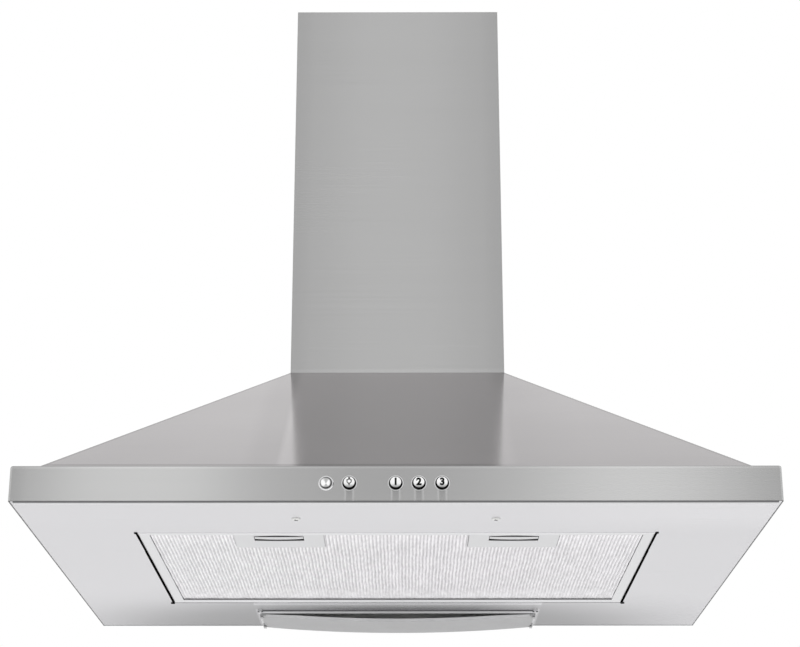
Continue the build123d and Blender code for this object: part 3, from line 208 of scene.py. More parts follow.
# ---------------------------------------------------------------- node helpers
def node(tree, kind, inputs=None, **settings):
    """Adds a shader node: settings are its own values, and inputs are sockets, linked or set."""
    made = tree.nodes.new("ShaderNode" + kind)
    for name, value in settings.items():
        setattr(made, name, value)
    for socket, value in (inputs or {}).items():
        if isinstance(value, bpy.types.NodeSocket):
            tree.links.new(value, made.inputs[socket])
        else:
            made.inputs[socket].default_value = value
    return made


def new_material(name, **sockets):
    """A material with a Principled shader whose sockets are set by name, with _ for a space."""
    made = bpy.data.materials.new(name)
    made.use_nodes = True
    shader = made.node_tree.nodes["Principled BSDF"]
    for socket, value in sockets.items():
        shader.inputs[socket.replace("_", " ")].default_value = value
    return made, made.node_tree, shader


def place(tree, scale):
    """The object's own coordinates, scaled along X, Y and Z."""
    coordinates = node(tree, "TexCoord").outputs["Object"]
    return node(tree, "Mapping", {"Vector": coordinates, "Scale": scale}).outputs["Vector"]


def noise(tree, scale, detail=3.0):
    """Noise in the object's own coordinates, as features per metre along X, Y and Z."""
    made = node(tree, "TexNoise", {"Vector": place(tree, scale), "Scale": 1.0, "Detail": detail})
    return made.outputs["Fac"]


def remap(tree, value, low, high, start=0.25, stop=0.75, smooth=False):
    """Maps a value between start and stop to the span between low and high."""
    made = node(
        tree, "MapRange",
        {"Value": value, "From Min": start, "From Max": stop, "To Min": low, "To Max": high},
        interpolation_type="SMOOTHSTEP" if smooth else "LINEAR",
    )
    return made.outputs["Result"]


def maths(tree, operation, a, b=0.0):
    """One sum on two values."""
    made = node(tree, "Math", {0: a, 1: b}, operation=operation)
    return made.outputs["Value"]


def product(tree, first, *others):
    """Several values multiplied."""
    for other in others:
        first = maths(tree, "MULTIPLY", first, other)
    return first


def blend(tree, factor, first, second, kind="MIX"):
    """Mixes two colours."""
    made = node(tree, "Mix", {0: factor, 6: first, 7: second}, data_type="RGBA", blend_type=kind)
    return made.outputs[2]


def shade(tree, colour, value):
    """A colour times a grey value."""
    grey = node(tree, "CombineColor", {"Red": value, "Green": value, "Blue": value}).outputs["Color"]
    return blend(tree, 1.0, (*colour, 1.0), grey, "MULTIPLY")


def axis_value(tree, axis):
    """The object's own coordinate along one axis, in metres."""
    return node(tree, "SeparateXYZ", {0: place(tree, (1, 1, 1))}).outputs[axis]


def fill_ramp(ramp, stops, interpolation="LINEAR"):
    """Sets a ramp's greys from (position, grey) stops."""
    ramp.interpolation = interpolation
    while len(ramp.elements) < len(stops):
        ramp.elements.new(0.5)
    for element, (at, grey) in zip(ramp.elements, stops):
        element.position = at
        element.color = (grey, grey, grey, 1.0)


def profile(tree, value, stops, unit=MM, interpolation="LINEAR"):
    """A line or curve through (place, factor) stops, level beyond its ends."""
    first, last = stops[0][0], stops[-1][0]
    peak = max(factor for _, factor in stops)
    along = remap(tree, value, 0.0, 1.0, first * unit, last * unit)
    ramp = node(tree, "ValToRGB", {"Fac": along})
    shares = [((at - first) / (last - first), factor / peak) for at, factor in stops]
    fill_ramp(ramp.color_ramp, shares, interpolation)
    return maths(tree, "MULTIPLY", ramp.outputs["Color"], peak)


def distance(tree, a, b):
    """The length of a vector with the parts a and b."""
    squares = [maths(tree, "POWER", part, 2.0) for part in (a, b)]
    return maths(tree, "SQRT", maths(tree, "ADD", *squares))


def between(tree, value, low, high):
    """1 where a value lies between two limits, else 0."""
    return product(tree, maths(tree, "GREATER_THAN", value, low), maths(tree, "LESS_THAN", value, high))


def masked(tree, mask, factor):
    """The factor where the mask is 1, and 1 where it is 0."""
    return node(tree, "Mix", {0: mask, 2: 1.0, 3: factor}).outputs[0]


def bump(tree, height, depth, strength=1.0, normal=None):
    """A normal that follows a height, which runs from 0 to 1 over the depth."""
    sockets = {"Height": height, "Distance": depth, "Strength": strength}
    if normal is not None:
        sockets["Normal"] = normal
    return node(tree, "Bump", sockets).outputs["Normal"]


# ---------------------------------------------------------------- materials
def brushed_steel(
    name, across, tone=0.60, tint=(1.0, 1.0, 0.997), painted_light=None, brush=1.0, roughness=0.25, drawn=0.75
):
    """Stainless sheet brushed along the hood's width. The brush lines step along the axis `across`.

    Its pattern argument gives a grey factor of painted reflection and shade: the wide light and dark zones
    that a brushed sheet picks up.
    """
    made, tree, shader = new_material(name, Metallic=1.0, Anisotropic=drawn)
    fine = [7.0, 7.0, 7.0]
    coarse = [3.0, 3.0, 3.0]
    fine["XYZ".index(across)] = 3600.0
    coarse["XYZ".index(across)] = 700.0
    lines = noise(tree, fine, 2.0)
    bands = noise(tree, coarse, 2.0)
    clouds = noise(tree, (5.0, 5.0, 5.0), 2.0)
    value = product(
        tree, remap(tree, lines, 1 - 0.035 * brush, 1 + 0.035 * brush),
        remap(tree, bands, 1 - 0.02 * brush, 1 + 0.02 * brush),
    )
    if painted_light:
        value = product(tree, value, painted_light(tree))
    tree.links.new(shade(tree, [tone * share for share in tint], value), shader.inputs["Base Color"])
    gloss = maths(
        tree, "ADD", remap(tree, lines, -0.02, 0.02), remap(tree, clouds, roughness - 0.015, roughness + 0.02)
    )
    tree.links.new(gloss, shader.inputs["Roughness"])
    # reflections smear across the brush lines: upwards on a wall, front to back on a flat sheet
    smear = node(tree, "CombineXYZ", {"X": 0.0, "Y": 0.05, "Z": 1.0}).outputs["Vector"]
    tree.links.new(smear, shader.inputs["Tangent"])
    rounded = node(tree, "Bevel", {"Radius": 0.5 * MM}, samples=4).outputs["Normal"]
    tree.links.new(bump(tree, lines, 0.02 * MM, 0.25 * brush, rounded), shader.inputs["Normal"])
    return made


def chimney_zones(tree):
    """Painted reflection: the chimney is darker towards its sides, and a painted highlight makes it a little
    brighter at its foot.
    """
    sides = profile(tree, axis_value(tree, "X"), CHIMNEY_PAINTED_SHEEN, interpolation="B_SPLINE")
    return product(tree, sides, profile(tree, axis_value(tree, "Z"), CHIMNEY_FOOT_HIGHLIGHT))


def band_zones(tree):
    """Painted reflection on the band's front: wide light and dark zones and streaks under the buttons, with a
    painted shadow at its foot and a painted light line and dark line along its top edge.
    """
    x, y, z = (axis_value(tree, axis) for axis in "XYZ")
    front_face = maths(tree, "LESS_THAN", y, BAND_FACE_Y)
    wide = masked(tree, front_face, profile(tree, x, BAND_PAINTED_REFLECTION, interpolation="B_SPLINE"))
    edges = product(tree, profile(tree, z, BAND_TOP_REFLECTION), profile(tree, z, BAND_FOOT_SHADOW))
    streak = profile(tree, maths(tree, "PINGPONG", x, BUTTON_PITCH / 2), BUTTON_REFLECTION_STREAKS)
    fading = product(tree, between(tree, z, 0.0, STREAKS_TOP), remap(tree, z, 0.55, 1.0, 0.0, STREAKS_FADE))
    spans = maths(tree, "ADD", *[between(tree, x, *span) for span in STREAK_SPANS])
    under = product(tree, fading, spans, front_face)
    return product(tree, wide, edges, masked(tree, under, streak))


def slope_zones(tree):
    """Painted shade and reflection: the canopy darkens towards its foot and varies across its width, with
    painted dark lines along its hips, above the band and under the chimney.
    """
    x, y, z = (axis_value(tree, axis) for axis in "XYZ")
    hip_x = remap(tree, y, HIP_FOOT[0], HIP_TOP[0], HIP_FOOT[1], HIP_TOP[1])
    to_hip = maths(tree, "ABSOLUTE", maths(tree, "SUBTRACT", hip_x, maths(tree, "ABSOLUTE", x)))
    on_front = maths(tree, "LESS_THAN", y, HIP_TOP[1])
    edge = masked(tree, on_front, profile(tree, to_hip, HIP_EDGE_SHADE))
    with_foot = product(tree, on_front, remap(tree, x, 1.0, 0.0, *SLOPE_FOOT_FADE))
    foot = masked(tree, with_foot, profile(tree, z, SLOPE_FOOT_SHADE))
    return product(tree, profile(tree, z, SLOPE_PAINTED_SHADE), profile(tree, x, SLOPE_SIDE_REFLECTION), edge, foot)


def panel_zones(tree):
    """Painted shade darkens the underside round the middle of its rear, with faint streaks there, and a
    painted reflection brightens its front towards the right.
    """
    x, y = axis_value(tree, "X"), axis_value(tree, "Y")
    off_middle = maths(tree, "ABSOLUTE", maths(tree, "SUBTRACT", x, PANEL_SHADE_MIDDLE))
    wide = maths(tree, "DIVIDE", maths(tree, "MAXIMUM", off_middle, PANEL_SHADE_HALF), PANEL_SHADE_X)
    away = distance(tree, wide, maths(tree, "DIVIDE", y, PANEL_SHADE_Y))
    shaded = profile(tree, away, PANEL_SHADE_ZONES, unit=1.0, interpolation="B_SPLINE")
    near_front = remap(tree, y, 1.0, 0.0, *PANEL_FRONT_FADE)
    front = masked(tree, near_front, profile(tree, x, PANEL_FRONT_REFLECTION, interpolation="B_SPLINE"))
    in_streaks = between(tree, x, -PANEL_STREAKS_HALF, PANEL_STREAKS_HALF)
    return product(tree, shaded, front, masked(tree, in_streaks, profile(tree, y, PANEL_STREAKS)))


def pilot_zones(tree):
    """Painted highlights on the pilot's lens to its left and right, inside a painted dark ring of shade that
    is thicker towards its lower right.
    """
    x = maths(tree, "SUBTRACT", axis_value(tree, "X"), PILOT_PLACE[0])
    z = maths(tree, "SUBTRACT", axis_value(tree, "Z"), PILOT_PLACE[1])
    away = distance(tree, x, z)
    turn = maths(tree, "DIVIDE", maths(tree, "ABSOLUTE", x), maths(tree, "ADD", away, 0.01 * MM))
    turned = profile(tree, turn, PILOT_GLINTS, unit=1.0)
    aside = distance(tree, maths(tree, "ADD", x, PILOT_SHIFT), maths(tree, "SUBTRACT", z, PILOT_SHIFT))
    return product(tree, turned, profile(tree, aside, PILOT_RING_SHADE))


def button_zones(tree):
    """Painted shade: a button's domed face darkens towards its foot."""
    return profile(tree, axis_value(tree, "Z"), BUTTON_SHADE)


def recess_zones(tree):
    """Painted shade: the screws under the panel are dark in their middles, with a painted highlight ring
    round that.
    """
    x = maths(tree, "SUBTRACT", maths(tree, "ABSOLUTE", axis_value(tree, "X")), PANEL_SCREW[0])
    y = maths(tree, "SUBTRACT", axis_value(tree, "Y"), PANEL_SCREW[1])
    return profile(tree, distance(tree, x, y), RECESS_SHADE)


def galvanised(name):
    """Zinc-coated sheet with faint spangles."""
    made, tree, shader = new_material(name, Metallic=1.0)
    spangle = node(tree, "TexVoronoi", {"Vector": place(tree, (1, 1, 1)), "Scale": 140.0}).outputs["Color"]
    grey = node(tree, "RGBToBW", {"Color": spangle}).outputs["Val"]
    colour = shade(tree, (0.56, 0.575, 0.585), remap(tree, grey, 0.92, 1.06))
    tree.links.new(colour, shader.inputs["Base Color"])
    tree.links.new(remap(tree, grey, 0.36, 0.48), shader.inputs["Roughness"])
    tree.links.new(bump(tree, noise(tree, (900, 900, 900)), 0.02 * MM, 0.4), shader.inputs["Normal"])
    return made


def plain_metal(name, colour, roughness, grain=1500.0, painted_light=None, **sockets):
    """A turned or rolled metal with a faint grain."""
    made, tree, shader = new_material(name, **{"Metallic": 1.0, **sockets})
    speckle = noise(tree, (grain, grain, grain))
    value = remap(tree, speckle, 0.96, 1.04)
    # the optional factor is painted light and shade
    if painted_light:
        value = product(tree, value, painted_light(tree))
    tree.links.new(shade(tree, colour, value), shader.inputs["Base Color"])
    tree.links.new(remap(tree, speckle, roughness - 0.03, roughness + 0.03), shader.inputs["Roughness"])
    tree.links.new(bump(tree, speckle, 0.01 * MM, 0.4), shader.inputs["Normal"])
    return made


def moulded(name, colour, roughness=0.5, grain=2200.0, depth=0.03, **sockets):
    """Moulded plastic or rubber with a fine eroded grain."""
    made, tree, shader = new_material(name, **sockets)
    pits = noise(tree, (grain, grain, grain), 2.0)
    clouds = noise(tree, (30, 30, 30))
    tree.links.new(shade(tree, colour, remap(tree, clouds, 0.95, 1.05)), shader.inputs["Base Color"])
    tree.links.new(remap(tree, pits, roughness - 0.06, roughness + 0.06), shader.inputs["Roughness"])
    tree.links.new(bump(tree, pits, depth * MM, 0.5), shader.inputs["Normal"])
    return made


def filter_metal(name, tone):
    """Bright aluminium foil slit and stretched into a fine mesh of diamonds."""
    made, tree, shader = new_material(name, Metallic=1.0)
    slits = node(
        tree, "TexVoronoi", {"Vector": place(tree, (620, 330, 620)), "Scale": 1.0, "Randomness": 0.25},
    ).outputs["Distance"]
    clouds = noise(tree, (60, 25, 60))
    # the mesh's grey holds painted shade in the ridges' valleys, a painted highlight on their crests, and
    # darkening towards the rear
    value = product(
        tree, remap(tree, slits, 0.86, 1.02, 0.15, 0.45), remap(tree, clouds, 0.98, 1.02),
        profile(tree, axis_value(tree, "Z"), RIDGE_HEIGHT_SHADE), profile(tree, axis_value(tree, "Y"), RIDGE_REAR),
        remap(tree, noise(tree, (330, 90, 330), 1.0), 0.90, 1.08, 0.3, 0.7),
    )
    tree.links.new(shade(tree, (tone, tone * 0.985, tone * 1.005), value), shader.inputs["Base Color"])
    tree.links.new(remap(tree, clouds, 0.34, 0.44), shader.inputs["Roughness"])
    tree.links.new(bump(tree, slits, 0.12 * MM, 0.6), shader.inputs["Normal"])
    return made


def laminations(name):
    """The motor's stack of steel plates, with its faint rings along X."""
    made, tree, shader = new_material(name, Metallic=0.9)
    plates = node(
        tree, "TexWave", {"Vector": place(tree, (1, 1, 1)), "Scale": 330.0, "Distortion": 0.3},
        bands_direction="X",
    ).outputs["Fac"]
    colour = shade(tree, (0.30, 0.31, 0.33), remap(tree, plates, 0.75, 1.15, 0, 1))
    tree.links.new(colour, shader.inputs["Base Color"])
    shader.inputs["Roughness"].default_value = 0.42
    tree.links.new(bump(tree, plates, 0.2 * MM, 0.5), shader.inputs["Normal"])
    return made


CUP_GREY = moulded("cup_grey", (0.085, 0.085, 0.09), 0.6, Specular_IOR_Level=0.2)
LAMP_ENAMEL = moulded("lamp_enamel", (0.88, 0.88, 0.87), 0.4, 600.0, 0.01)
LAMP_RIM = plain_metal("lamp_rim", (0.64, 0.64, 0.65), 0.4, Metallic=0.25)
CLIP_METAL = plain_metal("clip_metal", (0.46, 0.46, 0.465), 0.35)
# screws with painted shade in their middles and a painted highlight ring
SHADED_SCREW_STEEL = plain_metal("shaded_screw_steel", (0.72, 0.72, 0.71), 0.24, painted_light=recess_zones)
# a lighter copy of the diffuser's plastic, which paints a highlight along the diffuser's front edge
DIFFUSER_RIM_HIGHLIGHT = moulded("diffuser_rim", (0.60, 0.60, 0.605), 0.42, 900.0, 0.02)
# a dark grey for strips that paint shadow in gaps and folds
SHADOW_STRIP_GREY = moulded("shadow_strip_grey", (0.15, 0.15, 0.155), 0.6, Specular_IOR_Level=0.2)
HEM_BRIGHT = plain_metal("hem_bright", (0.86, 0.86, 0.87), 0.3)
PULL_BRIGHT = plain_metal("pull_bright", (0.70, 0.70, 0.71), 0.3)
MATERIALS = {
    "body_steel": brushed_steel("body_steel", "Z"),
    "galvanised_steel": galvanised("galvanised_steel"),
    "screw_steel": plain_metal("screw_steel", (0.72, 0.72, 0.71), 0.24),
    "filter_aluminium": plain_metal("filter_aluminium", (0.80, 0.805, 0.81), 0.33),
    "latch_plastic": moulded("latch_plastic", (0.035, 0.035, 0.038), 0.5),
    "latch_metal": plain_metal("latch_metal", (0.80, 0.80, 0.80), 0.3),
    "clip_plastic": moulded("clip_plastic", (0.04, 0.04, 0.042), 0.5),
    "diffuser_plastic": moulded(
        "diffuser_plastic", (0.405, 0.405, 0.41), 0.42, 900.0, 0.02, Transmission_Weight=0.12, IOR=1.49,
    ),
    "lamp_ceramic": moulded("lamp_ceramic", (0.80, 0.79, 0.76), 0.3),
    "cap_metal": plain_metal("cap_metal", (0.72, 0.63, 0.44), 0.3),
    "bulb_glass": moulded("bulb_glass", (0.90, 0.90, 0.88), 0.32, 3000.0, 0.01, Transmission_Weight=0.35),
    "button_chrome": plain_metal("button_chrome", (0.90, 0.90, 0.91), 0.12, 2500.0),
    # the pilot's lens carries painted highlights and a painted dark ring of shade
    "pilot_plastic": plain_metal("pilot_plastic", (0.98, 0.98, 0.98), 0.3, 2500.0, pilot_zones, Metallic=0.0),
    "black_plastic": moulded("black_plastic", (0.030, 0.030, 0.033), 0.46),
    "impeller_plastic": moulded("impeller_plastic", (0.30, 0.31, 0.33), 0.5),
    "motor_metal": laminations("motor_metal"),
    "black_rubber": moulded("black_rubber", (0.018, 0.018, 0.018), 0.75),
    "capacitor_plastic": moulded("capacitor_plastic", (0.74, 0.74, 0.72), 0.35),
}
# the grey of these steels carries painted reflection and shade
CHIMNEY_STEEL = brushed_steel("chimney_steel", "Z", painted_light=chimney_zones, brush=0.4)
BAND_STEEL = brushed_steel("band_steel", "Z", painted_light=band_zones, brush=0.5)
SLOPE_STEEL = brushed_steel(
    "slope_steel", "Z", tint=(1.0, 0.962, 0.972), painted_light=slope_zones, brush=0.5, roughness=0.19, drawn=0.95
)
PANEL_STEEL = brushed_steel(
    "panel_steel", "Y", tone=0.745, tint=(0.988, 0.98, 1.006), painted_light=panel_zones, brush=0.5
)
FILTER_MESH = filter_metal("filter_mesh", 0.83)
FILTER_RIM = plain_metal("filter_rim", (0.765, 0.765, 0.775), 0.33)
LATCH_SHEET = plain_metal("latch_sheet", (0.70, 0.70, 0.71), 0.33)
# black for pieces that paint shadow in gaps and notches
SHADOW_BLACK = moulded("shadow_black", (0.004, 0.004, 0.004), 0.8, Specular_IOR_Level=0.0)
BUTTON_BLACK = moulded("button_black", (0.003, 0.003, 0.003), 0.5, Specular_IOR_Level=0.02)
BUTTON_FACE = plain_metal("button_face", (1.0, 1.0, 1.0), 0.3, 2500.0, button_zones, Metallic=0.5)
INK_BLACK = moulded("ink_black", (0.004, 0.004, 0.004), 0.7, Specular_IOR_Level=0.0)

OWN_MATERIAL = {
    "chimney_outer": CHIMNEY_STEEL,
    "chimney_inner": CHIMNEY_STEEL,
    "apron_band": BAND_STEEL,
    "canopy_front": SLOPE_STEEL,
    "canopy_side_left": SLOPE_STEEL,
    "canopy_side_right": SLOPE_STEEL,
    "base_panel": PANEL_STEEL,
    "filter_core": FILTER_MESH,
    "filter_net": MATERIALS["filter_aluminium"],
    "filter_frame": FILTER_RIM,
    "latch_plate_left": LATCH_SHEET,
    "latch_plate_right": LATCH_SHEET,
    "latch_slider_left": CUP_GREY,
    "latch_slider_right": CUP_GREY,
    "lamp_clips": CLIP_METAL,
    "lamp_frame": LAMP_RIM,
    "lamp_box": LAMP_ENAMEL,
}


def dress(piece, material):
    """Gives a piece one material in every slot."""
    if not piece.data.materials:
        piece.data.materials.append(material)
    for index in range(len(piece.data.materials)):
        piece.data.materials[index] = material


slot_of = {row["node"]: row["material_slot"] for row in frame["record"]["subparts"]}
for name, cad_node in frame["nodes"].items():
    dress(cad_node, OWN_MATERIAL.get(name, MATERIALS[slot_of[name]]))


# ---------------------------------------------------------------- mesh helpers
def new_piece(name, mesh, material, body, slot, *replaced):
    """Links a mesh as a piece that rides on a body and stands for the nodes named."""
    piece = bpy.data.objects.new(name, mesh)
    scene.collection.objects.link(piece)
    dress(piece, material)
    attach(piece, body)
    if replaced:
        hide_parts(*replaced)
    return piece


def body_with(name):
    """The body that holds a node."""
    for body, members in frame["record"]["behaviour"]["bodies"].items():
        if name in members:
            return body
    raise KeyError(name)


def smooth(mesh, angle=35.0):
    """Smooth shading, with the edges sharper than the angle kept sharp."""
    for face in mesh.polygons:
        face.use_smooth = True
    mesh.set_sharp_from_angle(angle=math.radians(angle))
    return mesh


def lathe(section, segments=48):
    """A closed mesh round local Z from (radius, height) points that start and end on the axis."""
    shape = bmesh.new()
    rings = []
    for radius, height in section:
        if radius < 1e-7:
            rings.append([shape.verts.new((0, 0, height))])
            continue
        turns = (2 * math.pi * i / segments for i in range(segments))
        rings.append([shape.verts.new((radius * math.cos(a), radius * math.sin(a), height)) for a in turns])
    for low, high in zip(rings, rings[1:]):
        for i in range(segments):
            j = (i + 1) % segments
            corners = [low[i % len(low)], low[j % len(low)], high[j % len(high)], high[i % len(high)]]
            distinct = list(dict.fromkeys(corners))
            if len(distinct) > 2:
                shape.faces.new(distinct)
    bmesh.ops.recalc_face_normals(shape, faces=shape.faces)
    return shape


def to_mesh(shape, name, transform=None, angle=35.0):
    """Turns a bmesh into a mesh with smooth shading, and frees it."""
    if transform is not None:
        shape.transform(transform)
    mesh = bpy.data.meshes.new(name)
    shape.to_mesh(mesh)
    shape.free()
    return smooth(mesh, angle)


def joined(name, meshes):
    """One mesh from several."""
    shape = bmesh.new()
    for mesh in meshes:
        shape.from_mesh(mesh)
    return to_mesh(shape, name)


def carve(mesh, cutter):
    """Takes the cutter's mesh out of a mesh."""
    solid = bpy.data.objects.new("carve_solid", mesh)
    tool = bpy.data.objects.new("carve_tool", cutter)
    for each in (solid, tool):
        scene.collection.objects.link(each)
    cut = solid.modifiers.new("cut", "BOOLEAN")
    cut.operation, cut.object, cut.solver = "DIFFERENCE", tool, "EXACT"
    evaluated = solid.evaluated_get(bpy.context.evaluated_depsgraph_get())
    result = bpy.data.meshes.new_from_object(evaluated)
    bpy.data.objects.remove(solid)
    bpy.data.objects.remove(tool)
    return result


def facing(direction):
    """A turn that brings local +Z onto a direction."""
    return Vector(direction).to_track_quat("Z", "Y").to_matrix().to_4x4()


# ---------------------------------------------------------------- screws
def screw_mesh(shank):
    """A pan-head screw with a cross recess; its head stands on z = 0 and the shank goes down."""
    r, h, s = SCREW_HEAD_RADIUS, SCREW_HEAD_HEIGHT, SCREW_SHANK_RADIUS
    angles = [math.radians(turn) for turn in range(0, 90, 15)]
    head = [(r * math.cos(a), h * (0.35 + 0.65 * math.sin(a))) for a in angles]
    section = [(0, -shank), (s * 0.7, -shank), (s, -shank + 0.5 * s), (s, 0), (r, 0), *head, (0, h)]
    body = to_mesh(lathe(section, 32), "screw_body")
    # the recess's two blades overlap, so each is taken out by itself
    for turn in (20, 110):
        blade = bmesh.new()
        bmesh.ops.create_cube(blade, size=1.0)
        size = Matrix.Diagonal((1.15 * r, 0.28 * r, 1.1 * h, 1))
        place_at = Matrix.Translation((0, 0, 1.05 * h)) @ Matrix.Rotation(math.radians(turn), 4, "Z") @ size
        body = carve(body, to_mesh(blade, "screw_blade", place_at))
    return smooth(body)


def islands(name):
    """The separate solids of a CAD node, each as its lowest and highest corner."""
    mesh = frame["nodes"][name].data
    shape = bmesh.new()
    shape.from_mesh(mesh)
    bmesh.ops.remove_doubles(shape, verts=shape.verts, dist=0.001 * MM)
    left = set(shape.verts)
    boxes = []
    while left:
        wave = [left.pop()]
        found = list(wave)
        while wave:
            for edge in wave.pop().link_edges:
                for vert in edge.verts:
                    if vert in left:
                        left.remove(vert)
                        wave.append(vert)
                        found.append(vert)
        low = Vector(min(v.co[i] for v in found) for i in range(3))
        high = Vector(max(v.co[i] for v in found) for i in range(3))
        boxes.append((low, high))
    shape.free()
    return sorted(boxes, key=lambda box: tuple(box[0]))


def screws(name, direction_of, material=MATERIALS["screw_steel"]):
    """Replaces a node of screws by screws with cross recesses. direction_of says where a head points."""
    meshes = []
    for low, high in islands(name):
        direction = Vector(direction_of(low, high))
        middle = (low + high) / 2
        reach = abs((high - low).dot(direction)) / 2
        seat = middle + direction * (reach - SCREW_HEAD_HEIGHT)
        mesh = screw_mesh(2 * reach - SCREW_HEAD_HEIGHT)
        mesh.transform(Matrix.Translation(seat) @ facing(direction))
        meshes.append(mesh)
    new_piece(name + "_detailed", joined(name, meshes), material, body_with(name), "screw_steel", name)


outlet_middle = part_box("outlet_plate")[0].z
screws("base_screws", lambda low, high: (0, 0, -1), SHADED_SCREW_STEEL)
screws("chimney_screws", lambda low, high: (1 if low.x > 0 else -1, 0, 0))
screws("motor_screws", lambda low, high: (1, 0, 0))
screws("outlet_screws", lambda low, high: (0, 0, -1 if low.z < outlet_middle - 2 * MM else 1))


# ---------------------------------------------------------------- buttons
def dome_height(radius):
    """How far the button's face falls away from its middle."""
    return BUTTON_DOME * (radius / BUTTON_FACE_RADIUS) ** 2


def glyph_mesh(text):
    """A numeral, as a thin plate that is upright in X and Z and faces -Y."""
    curve = bpy.data.curves.new("numeral", "FONT")
    curve.body = text
    curve.size = GLYPH_HEIGHT * 1.38
    curve.align_x, curve.align_y = "CENTER", "CENTER"
    curve.offset = GLYPH_BOLD
    curve.extrude = GLYPH_DEPTH / 2
    holder = bpy.data.objects.new("numeral", curve)
    scene.collection.objects.link(holder)
    mesh = bpy.data.meshes.new_from_object(holder.evaluated_get(bpy.context.evaluated_depsgraph_get()))
    bpy.data.objects.remove(holder)
    mesh.transform(Matrix.Rotation(math.radians(90), 4, "X"))
    middle_x = (min(v.co.x for v in mesh.vertices) + max(v.co.x for v in mesh.vertices)) / 2
    middle_z = (min(v.co.z for v in mesh.vertices) + max(v.co.z for v in mesh.vertices)) / 2
    mesh.transform(Matrix.Translation((-middle_x, 0, -middle_z)))
    return mesh


def bulb_glyph():
    """A lamp sign: a ring for the bulb, its socket below and short rays round its top."""
    shape = bmesh.new()

    def bar(x, z, width, height, turn=0.0):
        """One straight stroke, turned about its middle."""
        verts = bmesh.ops.create_cube(shape, size=1.0)["verts"]
        size = Matrix.Diagonal((width, GLYPH_DEPTH, height, 1))
        move = Matrix.Translation((x, 0, z)) @ Matrix.Rotation(turn, 4, "Y") @ size
        bmesh.ops.transform(shape, verts=verts, matrix=move)

    centre_z, steps = 0.25 * MM, 24
    for i in range(steps):
        angle = 2 * math.pi * i / steps
        bar(
            SIGN_RADIUS * math.cos(angle), centre_z + SIGN_RADIUS * math.sin(angle),
            SIGN_WEIGHT, 2.15 * math.pi * SIGN_RADIUS / steps, -angle,
        )
    for step in range(3):
        bar(0, -1.85 * MM - step * 0.5 * MM, (1.2 - 0.25 * step) * MM, 0.36 * MM)
    for turn, length in ((-62, 0.5), (0, 1.1), (62, 0.5)):
        angle = math.radians(90 + turn)
        reach = SIGN_RADIUS + (0.45 + length / 2) * MM
        width = (1.2 if turn == 0 else 0.4) * MM
        x, z = reach * math.cos(angle), centre_z + reach * math.sin(angle)
        bar(x, z, width, length * MM, math.radians(-turn))
    return to_mesh(shape, "lamp_sign")


def button(name, glyph):
    """A black push button with a domed bright face and its sign."""
    low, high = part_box(name)
    centre = Vector(((low.x + high.x) / 2, low.y, (low.z + high.z) / 2))
    length, flange_radius = high.y - low.y, high.x - centre.x
    r, f, stem, depth = BUTTON_RADIUS, BUTTON_FACE_RADIUS, BUTTON_STEM_RADIUS, BUTTON_FACE_DEPTH
    flange_front, flange_back = BUTTON_FLANGE
    # from the face's seat over the rim and the tapered wall to the flange and the stem
    body_section = [
        (0, depth), (f, depth), (f, 0.45 * MM), (f + 0.08 * MM, 0.4 * MM), (f + 0.2 * MM, 0.6 * MM),
        (r - 0.15 * MM, 2.4 * MM), (r, 3.0 * MM), (r, flange_front), (flange_radius, flange_front),
        (flange_radius, flange_back), (stem, flange_back), (stem, length), (0, length),
    ]
    face_section = [(0, 0.0)]
    face_section += [(f * i / 6 * 0.99, dome_height(f * i / 6)) for i in range(1, 7)]
    face_section += [(f * 0.99, depth), (0, depth)]
    seat = Matrix.Translation(centre) @ facing((0, 1, 0))
    body = body_with(name)
    core = to_mesh(lathe(body_section), name, seat)
    new_piece(name + "_body", core, BUTTON_BLACK, body, "black_plastic", name)
    face = to_mesh(lathe(face_section), name + "_face", seat, 50.0)
    new_piece(name + "_face", face, BUTTON_FACE, body, "button_chrome")
    glyph.transform(Matrix.Translation(centre + Vector((0, GLYPH_DEPTH / 2 - GLYPH_PROUD, 0.35 * MM))))
    new_piece(name + "_sign", glyph, INK_BLACK, body, "black_plastic")


def button_ring(name):
    """A thin bright ring that lines the band's hole round a button."""
    low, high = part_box(name)
    inner, outer = RING_RADII
    wall = inner + RING_WALL
    section = [
        (inner, -RING_PROUD), (outer, -RING_PROUD), (outer, 0.0), (wall, 0.0), (wall, RING_DEPTH),
        (inner, RING_DEPTH),
    ]
    shape = bmesh.new()
    rings = []
    for i in range(RING_STEPS):
        turn = 2 * math.pi * i / RING_STEPS
        rings.append([shape.verts.new((r * math.cos(turn), y, r * math.sin(turn))) for r, y in section])
    for near, far in zip(rings, rings[1:] + rings[:1]):
        for j in range(len(section)):
            k = (j + 1) % len(section)
            shape.faces.new((near[j], far[j], far[k], near[k]))
    bmesh.ops.recalc_face_normals(shape, faces=shape.faces)
    front_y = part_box("apron_band")[0].y
    mesh = to_mesh(shape, name, Matrix.Translation(((low.x + high.x) / 2, front_y, (low.z + high.z) / 2)))
    new_piece(name + "_ring", mesh, HEM_BRIGHT, "root", "screw_steel")


for ringed in ("button_light", "button_speed_1", "button_speed_2", "button_speed_3"):
    button_ring(ringed)
button("button_light", bulb_glyph())
for speed in (1, 2, 3):
    button(f"button_speed_{speed}", glyph_mesh(str(speed)))


